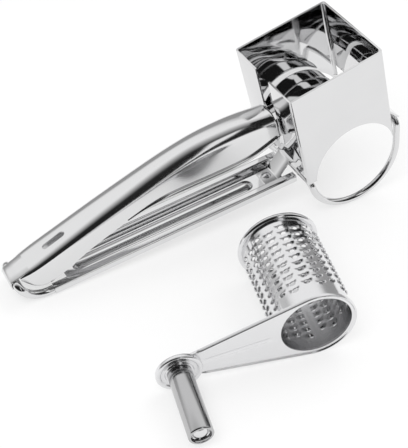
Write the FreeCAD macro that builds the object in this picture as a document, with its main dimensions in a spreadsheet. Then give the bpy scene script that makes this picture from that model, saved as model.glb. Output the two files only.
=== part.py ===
"""Rotary cabbage shredder, with its drum lifted out of the hopper and laid down beside it.

The tool is built in its own frame, in millimetres: the drum seat's axis runs along Y at the
height of the origin, the handle runs towards -X and the hopper opens towards +Z.  A last
placement tilts it to lie on its hoops and its tail bar, on the floor z = 0.
"""
import FreeCAD
import Part
import math
import os
import re
import Sketcher
from FreeCAD import Placement, Rotation, Vector

doc = FreeCAD.newDocument("RotaryShredder")

# ---------------------------------------------------------------- driving dimensions
DIMENSIONS = (
    # hopper
    ("hopper_width", 56.1),
    ("hopper_depth", 55.0),
    ("hopper_top", 64.4),
    ("hopper_sheet", 1.0),
    ("hopper_fold", 1.6),
    ("side_foot", 8.0),
    ("slot_half", 6.5),
    ("slot_floor", 24.7),
    ("seat_radius", 25.0),
    ("seat_shift", 2.4),
    # round rod hoops under the hopper
    ("rod_radius", 1.9),
    ("rod_bend", 4.0),
    ("seat_play", 0.6),
    ("cross_height", 1.0),
    ("lip_bar_height", 10.5),
    ("hoop_lean", 8.0),
    ("lip_angle", 54.0),
    ("lip_length", 9.6),
    # lower handle
    ("edge_radius", 2.4),
    ("edge_bore", 1.85),
    ("edge_half", 10.2),
    ("edge_drop", 5.3),
    ("edge_inset", 2.2),
    ("handle_slope", 7.37),
    ("handle_reach", 146.0),
    ("handle_sheet", 0.6),
    ("floor_drop", 1.2),
    ("floor_setback", 5.0),
    ("floor_short", 9.0),
    ("bead_start", 22.0),
    ("bead_end", 131.0),
    ("bead_half", 4.2),
    ("bead_corner", 4.1),
    ("bead_rise", 1.1),
    ("bead_end_wall", 2.5),
    # tail bar
    ("bar_radius", 2.3),
    ("spigot_radius", 1.75),
    ("spigot_length", 10.0),
    ("bar_run", 2.0),
    ("bar_bend", 15.0),
    ("bar_rise", 70.0),
    ("bar_corner", 2.6),
    # bracket strap and its rivet
    ("strap_half", 6.0),
    ("strap_sheet", 0.8),
    ("strap_foot_start", 16.0),
    ("strap_foot_end", 8.0),
    ("strap_wrap", 80.0),
    ("rivet_radius", 1.6),
    ("rivet_head_radius", 2.6),
    ("rivet_head_height", 0.9),
    ("rivet_close_radius", 2.2),
    ("rivet_close_height", 0.55),
    # press handle
    ("press_sheet", 0.8),
    ("nose_half", 9.0),
    ("hook_half", 7.5),
    ("hook_wrap", 205.0),
    ("tail_shoulder", 0.6),
    ("shoulder_growth", 1.2),
    ("nose_gap", 0.8),
    ("hang_centre", 27.0),
    ("hang_length", 13.5),
    ("hang_width", 3.6),
    ("edge_bead_start", 79.0),
    ("edge_bead_radius", 1.4),
    # presser
    ("arm_sheet", 1.0),
    ("arm_root", 26.0),
    ("arm_knee", 14.0),
    ("arm_chin_back", 7.0),
    ("arm_root_top", 43.6),
    ("arm_knee_top", 41.4),
    ("arm_top", 37.6),
    ("arm_root_foot", 33.0),
    ("arm_knee_foot", 26.0),
    ("arm_chin_foot", 22.5),
    ("arm_chin", 17.6),
    ("arm_bend", -14.0),
    ("arm_end", 6.0),
    ("arm_end_top", 33.6),
    ("plate_radius", 24.0),
    ("plate_sheet", 1.0),
    ("plate_half", 24.9),
    ("plate_x", -1.9),
    ("plate_z", 7.3),
    ("plate_from", 38.0),
    ("plate_to", 142.0),
    ("saddle_sheet", 1.2),
    ("saddle_half", 16.0),
    ("saddle_from", 43.0),
    ("saddle_to", 137.0),
    ("presser_rivet_right", 64.0),
    ("presser_rivet_left", 112.0),
    # drum
    ("barrel_radius", 19.4),
    ("barrel_sheet", 0.5),
    ("drum_length", 56.5),
    ("rim_radius", 21.5),
    ("rim_width", 3.2),
    ("rim_round", 1.1),
    ("ring_radius", 20.4),
    ("ring_hole", 17.9),
    ("ring_lip", 0.8),
    ("ring_lip_width", 1.0),
    ("crank_sheet", 1.2),
    ("collar_length", 6.0),
    ("collar_sheet", 0.7),
    ("collar_flange", 19.9),
    ("groove_half", 1.6),
    ("groove_depth", 0.4),
    ("tooth_columns", 18),
    ("tooth_rows", 10),
    ("tooth_pitch", 4.3),
    ("tooth_hole", 1.0),
    ("tooth_start", 9.0),
    ("tooth_phase", 12.0),
    ("seam_width", 4.6),
    ("seam_angle", -82.0),
    # crank and knob
    ("crank_length", 69.0),
    ("crank_tip", 6.0),
    ("boss_radius", 11.5),
    ("boss_height", 2.6),
    ("boss_round", 0.8),
    ("sleeve_radius", 6.1),
    ("sleeve_round", 0.75),
    ("knob_length", 39.2),
    ("spindle_radius", 2.5),
    ("spindle_head", 4.2),
    ("head_height", 1.8),
    ("head_round", 1.4),
    ("cup_depth", 2.2),
    ("cup_gap", 0.6),
    # clearances
    ("seat_clearance", 0.2),
    ("slot_clearance", 0.6),
    ("rest_gap", 0.2),
    ("hinge_clearance", 0.15),
    ("knob_clearance", 0.1),
    ("rod_clearance", 0.15),
    # how far a cutter reaches past what it cuts, and a piece into the one that it is joined to
    ("cut_past", 1.0),
    ("joined", 0.2),
    # where the drum lies: along the handle, across it and its heading
    ("drum_along", -75.5),
    ("drum_across", -110.5),
    ("drum_heading", -12.0),
)

# The press handle's crown and the foot of its sides: distance from the hinge, height above it.
CROWN_POINTS = (("hinge", 0.0, 3.25), ("slot", 28.0, 8.6), ("rise", 66.0, 15.6), ("crown", 108.0, 21.6),
                ("fore", 135.0, 20.2))
FOOT_POINTS = (("tail", 3.0, 1.4), ("side", 8.0, -5.4), ("heel", 16.0, -8.2), ("waist", 46.0, -0.4),
               ("middle", 78.0, 3.9), ("fore", 135.0, -2.6))
WIDTH_POINTS = (("tail", 3.0, 7.5), ("side", 10.0, 9.0), ("waist", 28.0, 9.4), ("fore", 132.0, 9.5))
NOSE_CROWN = 15.2
NOSE_FOOT = 0.4
# The press handle's shell: how many spans its loft and its beads have, and its least corner.
LOFT_SPANS = 18
BEAD_SPANS = 6
LEAST_CORNER = 0.25
LEAST_FLAT = 0.3

rows = list(DIMENSIONS)
for label, line in (("crown", CROWN_POINTS), ("foot", FOOT_POINTS), ("width", WIDTH_POINTS)):
    for name, along, height in line:
        rows.append(("%s_%s_along" % (label, name), along))
        rows.append(("%s_%s_height" % (label, name), height))
rows.append(("nose_crown", NOSE_CROWN))
rows.append(("nose_foot", NOSE_FOOT))

sheet = doc.addObject("Spreadsheet::Sheet", "Dim")
for number, (alias, value) in enumerate(rows, start=1):
    sheet.set("A%d" % number, alias.replace("_", " "))
    sheet.set("B%d" % number, str(value))
    sheet.setAlias("B%d" % number, alias)
doc.recompute()
ALIASES = {alias for alias, value in rows}


def full(text):
    """An expression with each alias of the sheet written in full."""
    return re.sub(r"[a-z][a-z_0-9]*", lambda m: "Dim." + m.group(0) if m.group(0) in ALIASES else m.group(0), text)


def size(text):
    """The value of an expression in the sheet's aliases."""
    return float(sheet.evalExpression(full(text)))


# ---------------------------------------------------------------- sketch and body helpers
def new_body(label):
    body = doc.addObject("PartDesign::Body", label)
    body.Label = label
    return body


def new_sketch(body, name, role, offset=None):
    """A sketch on one of the body's origin planes, shifted along the plane's normal by offset."""
    sketch = body.newObject("Sketcher::SketchObject", body.Name + name)
    plane = [item for item in body.Origin.OriginFeatures if item.Role == role][0]
    sketch.AttachmentSupport = [(plane, "")]
    sketch.MapMode = "FlatFace"
    if offset is not None:
        sketch.setExpression(".AttachmentOffset.Base.z", full(offset))
    return sketch


def pin_point(sketch, geometry, vertex, across, upright):
    """Hold a vertex at two expressions measured from the sketch's origin."""
    for kind, text in (("DistanceX", across), ("DistanceY", upright)):
        index = sketch.addConstraint(Sketcher.Constraint(kind, geometry, vertex, size(text)))
        sketch.setExpression("Constraints[%d]" % index, full(text))


def polygon(sketch, corners):
    """A closed outline through corners, each a pair of expressions."""
    first = sketch.GeometryCount
    count = len(corners)
    values = [Vector(size(across), size(upright), 0) for across, upright in corners]
    for index in range(count):
        sketch.addGeometry(Part.LineSegment(values[index], values[(index + 1) % count]), False)
    for index in range(count):
        sketch.addConstraint(Sketcher.Constraint("Coincident", first + index, 2, first + (index + 1) % count, 1))
        pin_point(sketch, first + index, 1, *corners[index])
    return sketch


def rectangle(sketch, left, right, low, high):
    return polygon(sketch, [(left, low), (right, low), (right, high), (left, high)])


def circle(sketch, across, upright, radius):
    centre = Vector(size(across), size(upright), 0)
    index = sketch.addGeometry(Part.Circle(centre, Vector(0, 0, 1), size(radius)), False)
    limit = sketch.addConstraint(Sketcher.Constraint("Radius", index, size(radius)))
    sketch.setExpression("Constraints[%d]" % limit, full(radius))
    pin_point(sketch, index, 3, across, upright)
    return sketch


def pad(body, sketch, length, symmetric=False, reverse=False):
    feature = body.newObject("PartDesign::Pad", sketch.Name + "Pad")
    feature.Profile = sketch
    feature.setExpression("Length", full(length))
    feature.Reversed = reverse
    if symmetric:
        feature.SideType = "Symmetric"
    doc.recompute()
    return feature


def pocket(body, sketch, length, symmetric=False, reverse=False):
    """A cut that has to take something away."""
    before = body.Shape.Volume
    feature = body.newObject("PartDesign::Pocket", sketch.Name + "Pocket")
    feature.Profile = sketch
    feature.setExpression("Length", full(length))
    feature.Reversed = reverse
    if symmetric:
        feature.SideType = "Symmetric"
    doc.recompute()
    if not body.Shape.Volume < before:
        raise ValueError(sketch.Name + " cuts nothing")
    return feature


def revolve(body, sketch, axis="V_Axis"):
    feature = body.newObject("PartDesign::Revolution", sketch.Name + "Turn")
    feature.Profile = sketch
    feature.ReferenceAxis = (sketch, [axis])
    feature.Angle = 360
    doc.recompute()
    return feature


def fillet(body, base, chosen, radius):
    """Round the edges of base that chosen(edge) picks."""
    names = ["Edge%d" % (index + 1) for index, edge in enumerate(base.Shape.Edges) if chosen(edge)]
    feature = body.newObject("PartDesign::Fillet", base.Name + "Round")
    feature.Base = (base, names)
    feature.setExpression("Radius", full(radius))
    doc.recompute()
    return feature


def runs_along(edge, direction):
    """True for a straight edge parallel to direction."""
    if edge.Curve.TypeId != "Part::GeomLine":
        return False
    return abs(edge.tangentAt(edge.FirstParameter).dot(direction)) > 0.999


def plain_feature(label, shape):
    feature = doc.addObject("Part::Feature", label)
    feature.Label = label
    feature.Shape = shape
    return feature


# ---------------------------------------------------------------- rods and curves
def bend(before, corner, after, radius):
    """The two tangent points and the middle of an arc of this radius that rounds a corner."""
    back = (before - corner).normalize()
    ahead = (after - corner).normalize()
    half = back.getAngle(ahead) / 2
    start = corner + back * (radius / math.tan(half))
    end = corner + ahead * (radius / math.tan(half))
    inward = (back + ahead).normalize()
    middle = corner + inward * (radius / math.sin(half) - radius)
    return start, middle, end


def swept_rod(edges, radius):
    """A round rod along a path of tangent edges."""
    path = Part.Wire(edges)
    start = edges[0].valueAt(edges[0].FirstParameter)
    heading = edges[0].tangentAt(edges[0].FirstParameter)
    profile = Part.Wire([Part.makeCircle(radius, start, heading)])
    rod = path.makePipeShell([profile], True, True)
    expected = math.pi * radius ** 2 * path.Length
    if abs(rod.Volume - expected) > 0.01 * expected:
        raise ValueError("a rod's volume differs from its section times its length")
    return rod


def smooth(points, at):
    """Height of a smooth line through (along, height) points, by cubic Hermite spans."""
    count = len(points)
    slopes = []
    for index in range(count):
        low = points[max(index - 1, 0)]
        high = points[min(index + 1, count - 1)]
        slopes.append((high[1] - low[1]) / (high[0] - low[0]))
    span = 0
    while span < count - 2 and at > points[span + 1][0]:
        span += 1
    width = points[span + 1][0] - points[span][0]
    t = (at - points[span][0]) / width
    rise = points[span + 1][1] - points[span][1]
    chord = rise * (3 * t ** 2 - 2 * t ** 3)
    leave = slopes[span] * width * (t - 2 * t ** 2 + t ** 3)
    arrive = slopes[span + 1] * width * (t ** 3 - t ** 2)
    return points[span][1] + chord + leave + arrive


# ---------------------------------------------------------------- where the main axes lie
HOOP_RADIUS = "(seat_radius + seat_play + rod_radius)"
TIP_FOOT = "(cross_height + rod_radius + seat_clearance)"
HALF_X = "hopper_width / 2"
HALF_Y = "hopper_depth / 2"
INNER_X = "(hopper_width / 2 - hopper_sheet)"
INNER_Y = "(hopper_depth / 2 - hopper_sheet)"
# The lip over the far bar: its bar, its normal (cosine, sine of 90 - lip_angle) and its two turns.
LIP_X = ("(seat_shift + %s * cos(hoop_lean * 1deg) + tan(hoop_lean * 1deg)"
         " * (lip_bar_height + %s * sin(hoop_lean * 1deg)))" % (HOOP_RADIUS, HOOP_RADIUS))
LIP_ACROSS = "sin(lip_angle * 1deg)"
LIP_DOWN = "cos(lip_angle * 1deg)"
LIP_GAP = "(rod_radius + seat_clearance)"
INNER_TURN = "(lip_bar_height + (%s - (%s - %s) * %s) / %s)" % (LIP_GAP, INNER_X, LIP_X, LIP_ACROSS, LIP_DOWN)
OUTER_TURN = "(lip_bar_height + (%s + hopper_sheet - (%s - %s) * %s) / %s)" % (
    LIP_GAP, HALF_X, LIP_X, LIP_ACROSS, LIP_DOWN)

hoop_radius = size(HOOP_RADIUS)
hoop_y = size("hopper_depth / 2 - rod_radius")
seat = Vector(size("seat_shift"), 0, 0)
rod_bend = size("rod_bend")
cross_reach = math.hypot(hoop_radius, rod_bend)
cross_angle = math.pi - math.asin(size("cross_height") / cross_reach)
cross_bar = seat + Vector(math.cos(cross_angle), 0, math.sin(cross_angle)) * cross_reach
lean = math.radians(size("hoop_lean"))
hoop_top = seat + Vector(math.cos(lean), 0, -math.sin(lean)) * hoop_radius
lip_bar = Vector(size(LIP_X), 0, size("lip_bar_height"))

# The lower handle's own frame starts below the cross bar and runs back along -X.
slope = math.radians(size("handle_slope"))
edge_start = cross_bar + Vector(-size("edge_inset"), 0, -size("edge_drop"))
back_up = Vector(-math.cos(slope), 0, math.sin(slope))
handle_frame = Placement(edge_start, Rotation(Vector(0, 1, 0), size("handle_slope")))
seam = edge_start + back_up * size("handle_reach")

# The tail bar leaves the seam along the handle, turns up and ends at the hinge.
bar_start = seam + back_up * size("bar_run")
bar_bend = size("bar_bend")
rise = math.radians(size("bar_rise"))
bend_centre = bar_start + Vector(math.sin(slope), 0, math.cos(slope)) * bar_bend
bend_end = bend_centre - Vector(math.sin(rise), 0, math.cos(rise)) * bar_bend
hinge = bend_end + Vector(-math.cos(rise), 0, math.sin(rise)) * size("bar_corner")

# On the floor the tool touches with its hoops and with the tail bar's bend.
hoop_reach = hoop_radius + size("rod_radius")
bend_reach = bar_bend + size("bar_radius")
span = seat.distanceToPoint(bend_centre)
tilt = math.atan2(bend_centre.z, seat.x - bend_centre.x) + math.asin((hoop_reach - bend_reach) / span)
LYING = Rotation(Vector(0, 1, 0), -math.degrees(tilt))
FLOOR = LYING.multVec(seat).z - hoop_reach


# ---------------------------------------------------------------- hopper and hoops
def make_hopper():
    """A square box of bent sheet with round cut-outs front and back, a slot and a turned lip."""
    body = new_body("hopper")
    outline = rectangle(new_sketch(body, "Outline", "XY_Plane", TIP_FOOT),
                        "-" + HALF_X, HALF_X, "-" + HALF_Y, HALF_Y)
    block = pad(body, outline, "hopper_top - " + TIP_FOOT)
    fillet(body, block, lambda edge: runs_along(edge, Vector(0, 0, 1)), "hopper_fold")
    inside = rectangle(new_sketch(body, "Inside", "XY_Plane", "hopper_top"),
                       "-" + INNER_X, INNER_X, "-" + INNER_Y, INNER_Y)
    hollow = pocket(body, inside, "hopper_top")
    reach = size(INNER_X)

    def inner_corner(edge):
        return runs_along(edge, Vector(0, 0, 1)) and abs(abs(edge.CenterOfMass.x) - reach) < 0.01

    fillet(body, hollow, inner_corner, "hopper_fold - hopper_sheet")
    cut_out = circle(new_sketch(body, "CutOut", "XZ_Plane"), "seat_shift", "0", "seat_radius")
    pocket(body, cut_out, "hopper_depth * 2", symmetric=True)
    slot = rectangle(new_sketch(body, "Slot", "YZ_Plane", "-%s - cut_past" % HALF_X),
                     "-slot_half", "slot_half", "slot_floor", "hopper_top + cut_past")
    pocket(body, slot, "hopper_width / 4", reverse=True)
    foot = rectangle(new_sketch(body, "Foot", "YZ_Plane", "-%s - cut_past" % HALF_X),
                     "-" + INNER_Y, INNER_Y, "0", "side_foot")
    pocket(body, foot, "hopper_width / 4", reverse=True)
    far_foot = rectangle(new_sketch(body, "FarFoot", "YZ_Plane", HALF_X + " + cut_past"),
                         "-" + INNER_Y, INNER_Y, "0", INNER_TURN)
    pocket(body, far_foot, "hopper_width / 4")
    low = "lip_length * " + LIP_ACROSS
    aside = "lip_length * " + LIP_DOWN
    lip = polygon(new_sketch(body, "Lip", "XZ_Plane"), [
        (INNER_X, INNER_TURN),
        ("%s + %s" % (INNER_X, aside), "%s - %s" % (INNER_TURN, low)),
        ("%s + %s + hopper_sheet * %s" % (INNER_X, aside, LIP_ACROSS),
         "%s - %s + hopper_sheet * %s" % (INNER_TURN, low, LIP_DOWN)),
        (HALF_X, OUTER_TURN)])
    pad(body, lip, "hopper_depth - 2 * hopper_fold", symmetric=True)
    return body


def hoop_shape(side):
    """Half of the wire under the hopper: bar, bend, hoop, bend, bar; side is -1 in front, 1 behind."""
    across = Vector(0, side * hoop_y, 0)
    end_angle = cross_angle + math.atan(rod_bend / hoop_radius)
    mid_angle = (end_angle + 2 * math.pi - lean) / 2
    arc_from = hoop_top + across
    arc_mid = seat + across + Vector(math.cos(mid_angle), 0, math.sin(mid_angle)) * hoop_radius
    arc_end = seat + across + Vector(math.cos(end_angle), 0, math.sin(end_angle)) * hoop_radius
    start_a, middle_a, end_a = bend(lip_bar, lip_bar + across, arc_from, rod_bend)
    start_b, middle_b, end_b = bend(arc_end, cross_bar + across, cross_bar, rod_bend)
    edges = [
        Part.LineSegment(lip_bar, start_a).toShape(),
        Part.Arc(start_a, middle_a, end_a).toShape(),
        Part.LineSegment(end_a, arc_from).toShape(),
        Part.Arc(arc_from, arc_mid, arc_end).toShape(),
        Part.Arc(arc_end, middle_b, end_b).toShape(),
        Part.LineSegment(end_b, cross_bar).toShape(),
    ]
    return swept_rod(edges, size("rod_radius"))


# ---------------------------------------------------------------- lower handle, strap and tail bar
def make_lower_handle():
    """A sheet tray between two rolled edges, drawn along its own -X."""
    body = new_body("lower_handle")
    tray = rectangle(new_sketch(body, "Tray", "XY_Plane", "-floor_drop - handle_sheet"),
                     "-(handle_reach - floor_short)", "-floor_setback", "-edge_half", "edge_half")
    pad(body, tray, "handle_sheet")
    tubes = new_sketch(body, "Tubes", "YZ_Plane")
    for side in ("-edge_half", "edge_half"):
        circle(tubes, side, "0", "edge_radius")
    pad(body, tubes, "handle_reach", reverse=True)
    bead = rectangle(new_sketch(body, "Bead", "XY_Plane", "-floor_drop"),
                     "-bead_end", "-bead_start", "-bead_half", "bead_half")
    raised = pad(body, bead, "bead_rise")
    half = size("bead_half")
    drop = size("floor_drop")

    def bead_corner(edge):
        if not runs_along(edge, Vector(0, 0, 1)):
            return False
        return edge.CenterOfMass.z > -drop and abs(abs(edge.CenterOfMass.y) - half) < 0.01

    fillet(body, raised, bead_corner, "bead_corner")
    under = rectangle(new_sketch(body, "Under", "XY_Plane", "-floor_drop - handle_sheet"),
                      "-(bead_end - bead_end_wall)", "-(bead_start + bead_end_wall)",
                      "-(bead_half - handle_sheet)", "bead_half - handle_sheet")
    pocket(body, under, "bead_rise", reverse=True)
    bores = new_sketch(body, "Bores", "YZ_Plane", "cut_past")
    for side in ("-edge_half", "edge_half"):
        circle(bores, side, "0", "edge_bore")
    pocket(body, bores, "handle_reach + 2 * cut_past")
    hole = circle(new_sketch(body, "RivetHole", "XY_Plane"),
                  "-(strap_foot_start + strap_foot_end) / 2", "0", "rivet_radius")
    pocket(body, hole, "edge_radius * 2")
    return body


def tail_bar_shape():
    """The U of round rod: two spigots in the rolled edges, two side runs and the hinge bar."""
    halves = []
    mid_angle = (slope + rise) / 2
    for side in (-1, 1):
        across = Vector(0, side * size("edge_half"), 0)
        shoulder = seam + across
        arc_mid = bend_centre - Vector(math.sin(mid_angle), 0, math.cos(mid_angle)) * bar_bend
        first, top, last = bend(bend_end + across, hinge + across, hinge, size("bar_corner"))
        edges = [
            Part.LineSegment(shoulder, bar_start + across).toShape(),
            Part.Arc(bar_start + across, arc_mid + across, bend_end + across).toShape(),
            Part.Arc(bend_end + across, top, last).toShape(),
            Part.LineSegment(last, hinge).toShape(),
        ]
        bar = swept_rod(edges, size("bar_radius"))
        spigot = Part.makeCylinder(size("spigot_radius"), size("spigot_length"), shoulder, back_up * -1)
        halves.append(bar.fuse(spigot))
    return halves[0].fuse(halves[1]).removeSplitter()


def strap_shape():
    """The strap from the tray's floor up and over the cross bar, in the lower handle's frame."""
    bar = handle_frame.inverse().multVec(cross_bar)
    centre = Vector(bar.x, 0, bar.z)
    inner = size("rod_radius + rod_clearance")
    outer = inner + size("strap_sheet")
    floor = -size("floor_drop")
    turn = Vector(-size("strap_foot_end"), 0, floor)
    bearing = math.atan2(bar.z - turn.z, bar.x - turn.x)
    climb = bearing + math.asin(inner / turn.distanceToPoint(centre))
    touch = climb + math.pi / 2
    last = touch - math.radians(size("strap_wrap"))

    def around(radius, angle):
        return centre + Vector(math.cos(angle), 0, math.sin(angle)) * radius

    lower = Vector(-size("strap_foot_start"), 0, floor)
    up = Vector(0, 0, size("strap_sheet"))
    knee = turn + up - Vector(math.tan(climb / 2) * size("strap_sheet"), 0, 0)
    middle = (touch + last) / 2
    edges = [
        Part.LineSegment(lower, turn).toShape(),
        Part.LineSegment(turn, around(inner, touch)).toShape(),
        Part.Arc(around(inner, touch), around(inner, middle), around(inner, last)).toShape(),
        Part.LineSegment(around(inner, last), around(outer, last)).toShape(),
        Part.Arc(around(outer, last), around(outer, middle), around(outer, touch)).toShape(),
        Part.LineSegment(around(outer, touch), knee).toShape(),
        Part.LineSegment(knee, lower + up).toShape(),
        Part.LineSegment(lower + up, lower).toShape(),
    ]
    half = size("strap_half")
    band = Part.Face(Part.Wire(edges)).extrude(Vector(0, 2 * half, 0)).translated(Vector(0, -half, 0))
    past = size("cut_past")
    middle_foot = Vector(-size("strap_foot_start + strap_foot_end") / 2, 0, floor - past)
    return band.cut(Part.makeCylinder(size("rivet_radius"), size("strap_sheet") + 2 * past, middle_foot))


def domed_head(radius, height):
    """A shallow dome that stands on z = 0."""
    ball = (radius ** 2 + height ** 2) / (2 * height)
    sphere = Part.makeSphere(ball, Vector(0, 0, height - ball))
    return sphere.common(Part.makeCylinder(radius, height))


def rivet_shape(grip):
    """A rivet along Z: dome above z = 0, shank down through the grip, closing head below."""
    head = domed_head(size("rivet_head_radius"), size("rivet_head_height"))
    joined = size("joined")
    shank = Part.makeCylinder(size("rivet_radius"), grip + joined, Vector(0, 0, -grip - joined / 2))
    closing = domed_head(size("rivet_close_radius"), size("rivet_close_height"))
    closing.rotate(Vector(0, 0, 0), Vector(1, 0, 0), 180)
    closing.translate(Vector(0, 0, -grip))
    return head.fuse(shank).fuse(closing).removeSplitter()


# ---------------------------------------------------------------- press handle and presser
def named_line(label, points):
    """The sheet's values of a named line of (along, height) points."""
    line = []
    for name, along, height in points:
        line.append((size("%s_%s_along" % (label, name)), size("%s_%s_height" % (label, name))))
    return line


NOSE_X = "(-hopper_width / 2 - nose_gap)"
nose_along = size(NOSE_X) - hinge.x
crown_line = named_line("crown", CROWN_POINTS) + [(nose_along, size("nose_crown"))]
foot_line = named_line("foot", FOOT_POINTS) + [(nose_along, size("nose_foot"))]
width_line = named_line("width", WIDTH_POINTS) + [(nose_along, size("nose_half"))]


def press_section(along, sheet):
    """A closed section across the press handle: crown, rounded shoulders, straight sides and foot.

    sheet is how far inside the outer surface it runs, and an inner one reaches below the sides."""
    width = smooth(width_line, along)
    top = smooth(crown_line, along) - sheet
    foot = smooth(foot_line, along) - 2 * sheet
    share = min(along / size("crown_crown_along"), 1) ** size("shoulder_growth")
    shoulder = size("tail_shoulder") + (width - size("tail_shoulder")) * share
    corner = max(min(shoulder, width - LEAST_FLAT) - sheet, LEAST_CORNER)
    half = width - sheet
    flat = half - corner
    low = top - corner
    arch = corner * math.sqrt(0.5)

    def point(y, height):
        return Vector(hinge.x + along, y, hinge.z + height)

    return Part.Wire([
        Part.LineSegment(point(-half, foot), point(-half, low)).toShape(),
        Part.Arc(point(-half, low), point(-flat - arch, low + arch), point(-flat, top)).toShape(),
        Part.LineSegment(point(-flat, top), point(flat, top)).toShape(),
        Part.Arc(point(flat, top), point(flat + arch, low + arch), point(half, low)).toShape(),
        Part.LineSegment(point(half, low), point(half, foot)).toShape(),
        Part.LineSegment(point(half, foot), point(-half, foot)).toShape(),
    ])


def lofted(start, end, sheet):
    """The press handle's section carried from start to end, measured from the hinge."""
    stations = [start + (end - start) * step / LOFT_SPANS for step in range(LOFT_SPANS + 1)]
    return Part.makeLoft([press_section(along, sheet) for along in stations], True, False)


def hook_shape():
    """The sheet's end curled round the hinge bar, with the short flat that leads to the shell."""
    inner = size("bar_radius + hinge_clearance")
    thick = size("press_sheet")
    outer = inner + thick
    end = math.pi / 2 + math.radians(size("hook_wrap"))
    middle = (math.pi / 2 + end) / 2
    reach = size("foot_tail_along + joined")

    def around(radius, angle):
        return hinge + Vector(math.cos(angle), 0, math.sin(angle)) * radius

    lead = hinge + Vector(reach, 0, smooth(crown_line, reach))
    under = lead - Vector(0, 0, thick)
    edges = [
        Part.LineSegment(under, around(inner, math.pi / 2)).toShape(),
        Part.Arc(around(inner, math.pi / 2), around(inner, middle), around(inner, end)).toShape(),
        Part.LineSegment(around(inner, end), around(outer, end)).toShape(),
        Part.Arc(around(outer, end), around(outer, middle), around(outer, math.pi / 2)).toShape(),
        Part.LineSegment(around(outer, math.pi / 2), lead).toShape(),
        Part.LineSegment(lead, under).toShape(),
    ]
    half = size("hook_half")
    return Part.Face(Part.Wire(edges)).extrude(Vector(0, 2 * half, 0)).translated(Vector(0, -half, 0))


def edge_bead(side):
    """The rolled bead along one lower edge of the press handle."""
    radius = size("edge_bead_radius")
    start = size("edge_bead_start")
    end = nose_along - radius
    points = []
    for step in range(BEAD_SPANS + 1):
        along = start + (end - start) * step / BEAD_SPANS
        points.append(Vector(hinge.x + along, side * smooth(width_line, along),
                             hinge.z + smooth(foot_line, along) + radius))
    curve = Part.BSplineCurve()
    curve.interpolate(points)
    path = Part.Wire([curve.toShape()])
    profile = Part.Wire([Part.makeCircle(radius, points[0], curve.tangent(curve.FirstParameter)[0])])
    return path.makePipeShell([profile], True, True)


def press_handle_shape():
    """The arched shell with its hook, hang slot, nose plate and beaded edges."""
    thick = size("press_sheet")
    start = size("foot_tail_along")
    shell = lofted(start, nose_along, 0).cut(lofted(start - size("joined"), nose_along - thick, thick))
    middle = size("hang_centre")
    half_run = size("(hang_length - hang_width) / 2")
    half_width = size("hang_width / 2")
    cutters = []
    for shift in (-half_run, half_run):
        base = hinge + Vector(middle + shift, 0, 0)
        cutters.append(Part.makeCylinder(half_width, size("crown_crown_height"), base))
    cutters.append(Part.makeBox(2 * half_run, 2 * half_width, size("crown_crown_height"),
                                hinge + Vector(middle - half_run, -half_width, 0)))
    opening_half = size("slot_half - slot_clearance + rest_gap")
    opening_top = size("arm_top + rest_gap + (arm_knee_top - arm_top) * (press_sheet + cut_past) / arm_knee")
    deep = thick + size("cut_past")
    cutters.append(Part.makeBox(2 * deep, 2 * opening_half, opening_top,
                                Vector(size(NOSE_X) - deep, -opening_half, 0)))
    for cutter in cutters:
        shell = shell.cut(cutter)
    return shell.fuse([hook_shape(), edge_bead(-1), edge_bead(1)]).removeSplitter()


ARM_HALF = "(slot_half - slot_clearance)"
ARM_FRONT = "(-hopper_width / 2 - 2 * slot_clearance)"


def make_arm():
    """The folded arm, a channel open below, from inside the press handle through the slot."""
    body = new_body("presser_arm")
    root = NOSE_X + " - arm_root"
    knee = NOSE_X + " - arm_knee"
    side = polygon(new_sketch(body, "Side", "XZ_Plane"), [
        (root, "arm_root_foot"), (knee, "arm_knee_foot"), (NOSE_X + " - arm_chin_back", "arm_chin_foot"),
        (ARM_FRONT, "arm_chin"), (ARM_FRONT, "slot_floor + rest_gap"), ("arm_end", "slot_floor + rest_gap"),
        ("arm_end", "arm_end_top"), ("arm_bend", "arm_top"), (NOSE_X, "arm_top"), (knee, "arm_knee_top"),
        (root, "arm_root_top")])
    pad(body, side, "2 * " + ARM_HALF, symmetric=True)
    inside = polygon(new_sketch(body, "Inside", "XZ_Plane"), [
        (root + " - cut_past", "0"), ("arm_end + cut_past", "0"), ("arm_end + cut_past", "arm_end_top - arm_sheet"),
        ("arm_end", "arm_end_top - arm_sheet"), ("arm_bend", "arm_top - arm_sheet"),
        (NOSE_X, "arm_top - arm_sheet"), (knee, "arm_knee_top - arm_sheet"), (root, "arm_root_top - arm_sheet"),
        (root + " - cut_past", "arm_root_top - arm_sheet")])
    pocket(body, inside, "2 * (%s - arm_sheet)" % ARM_HALF, symmetric=True)
    saddle = circle(new_sketch(body, "Saddle", "XZ_Plane"), "plate_x", "plate_z", "plate_radius + saddle_sheet")
    pocket(body, saddle, "4 * " + ARM_HALF, symmetric=True)
    return body


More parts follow.
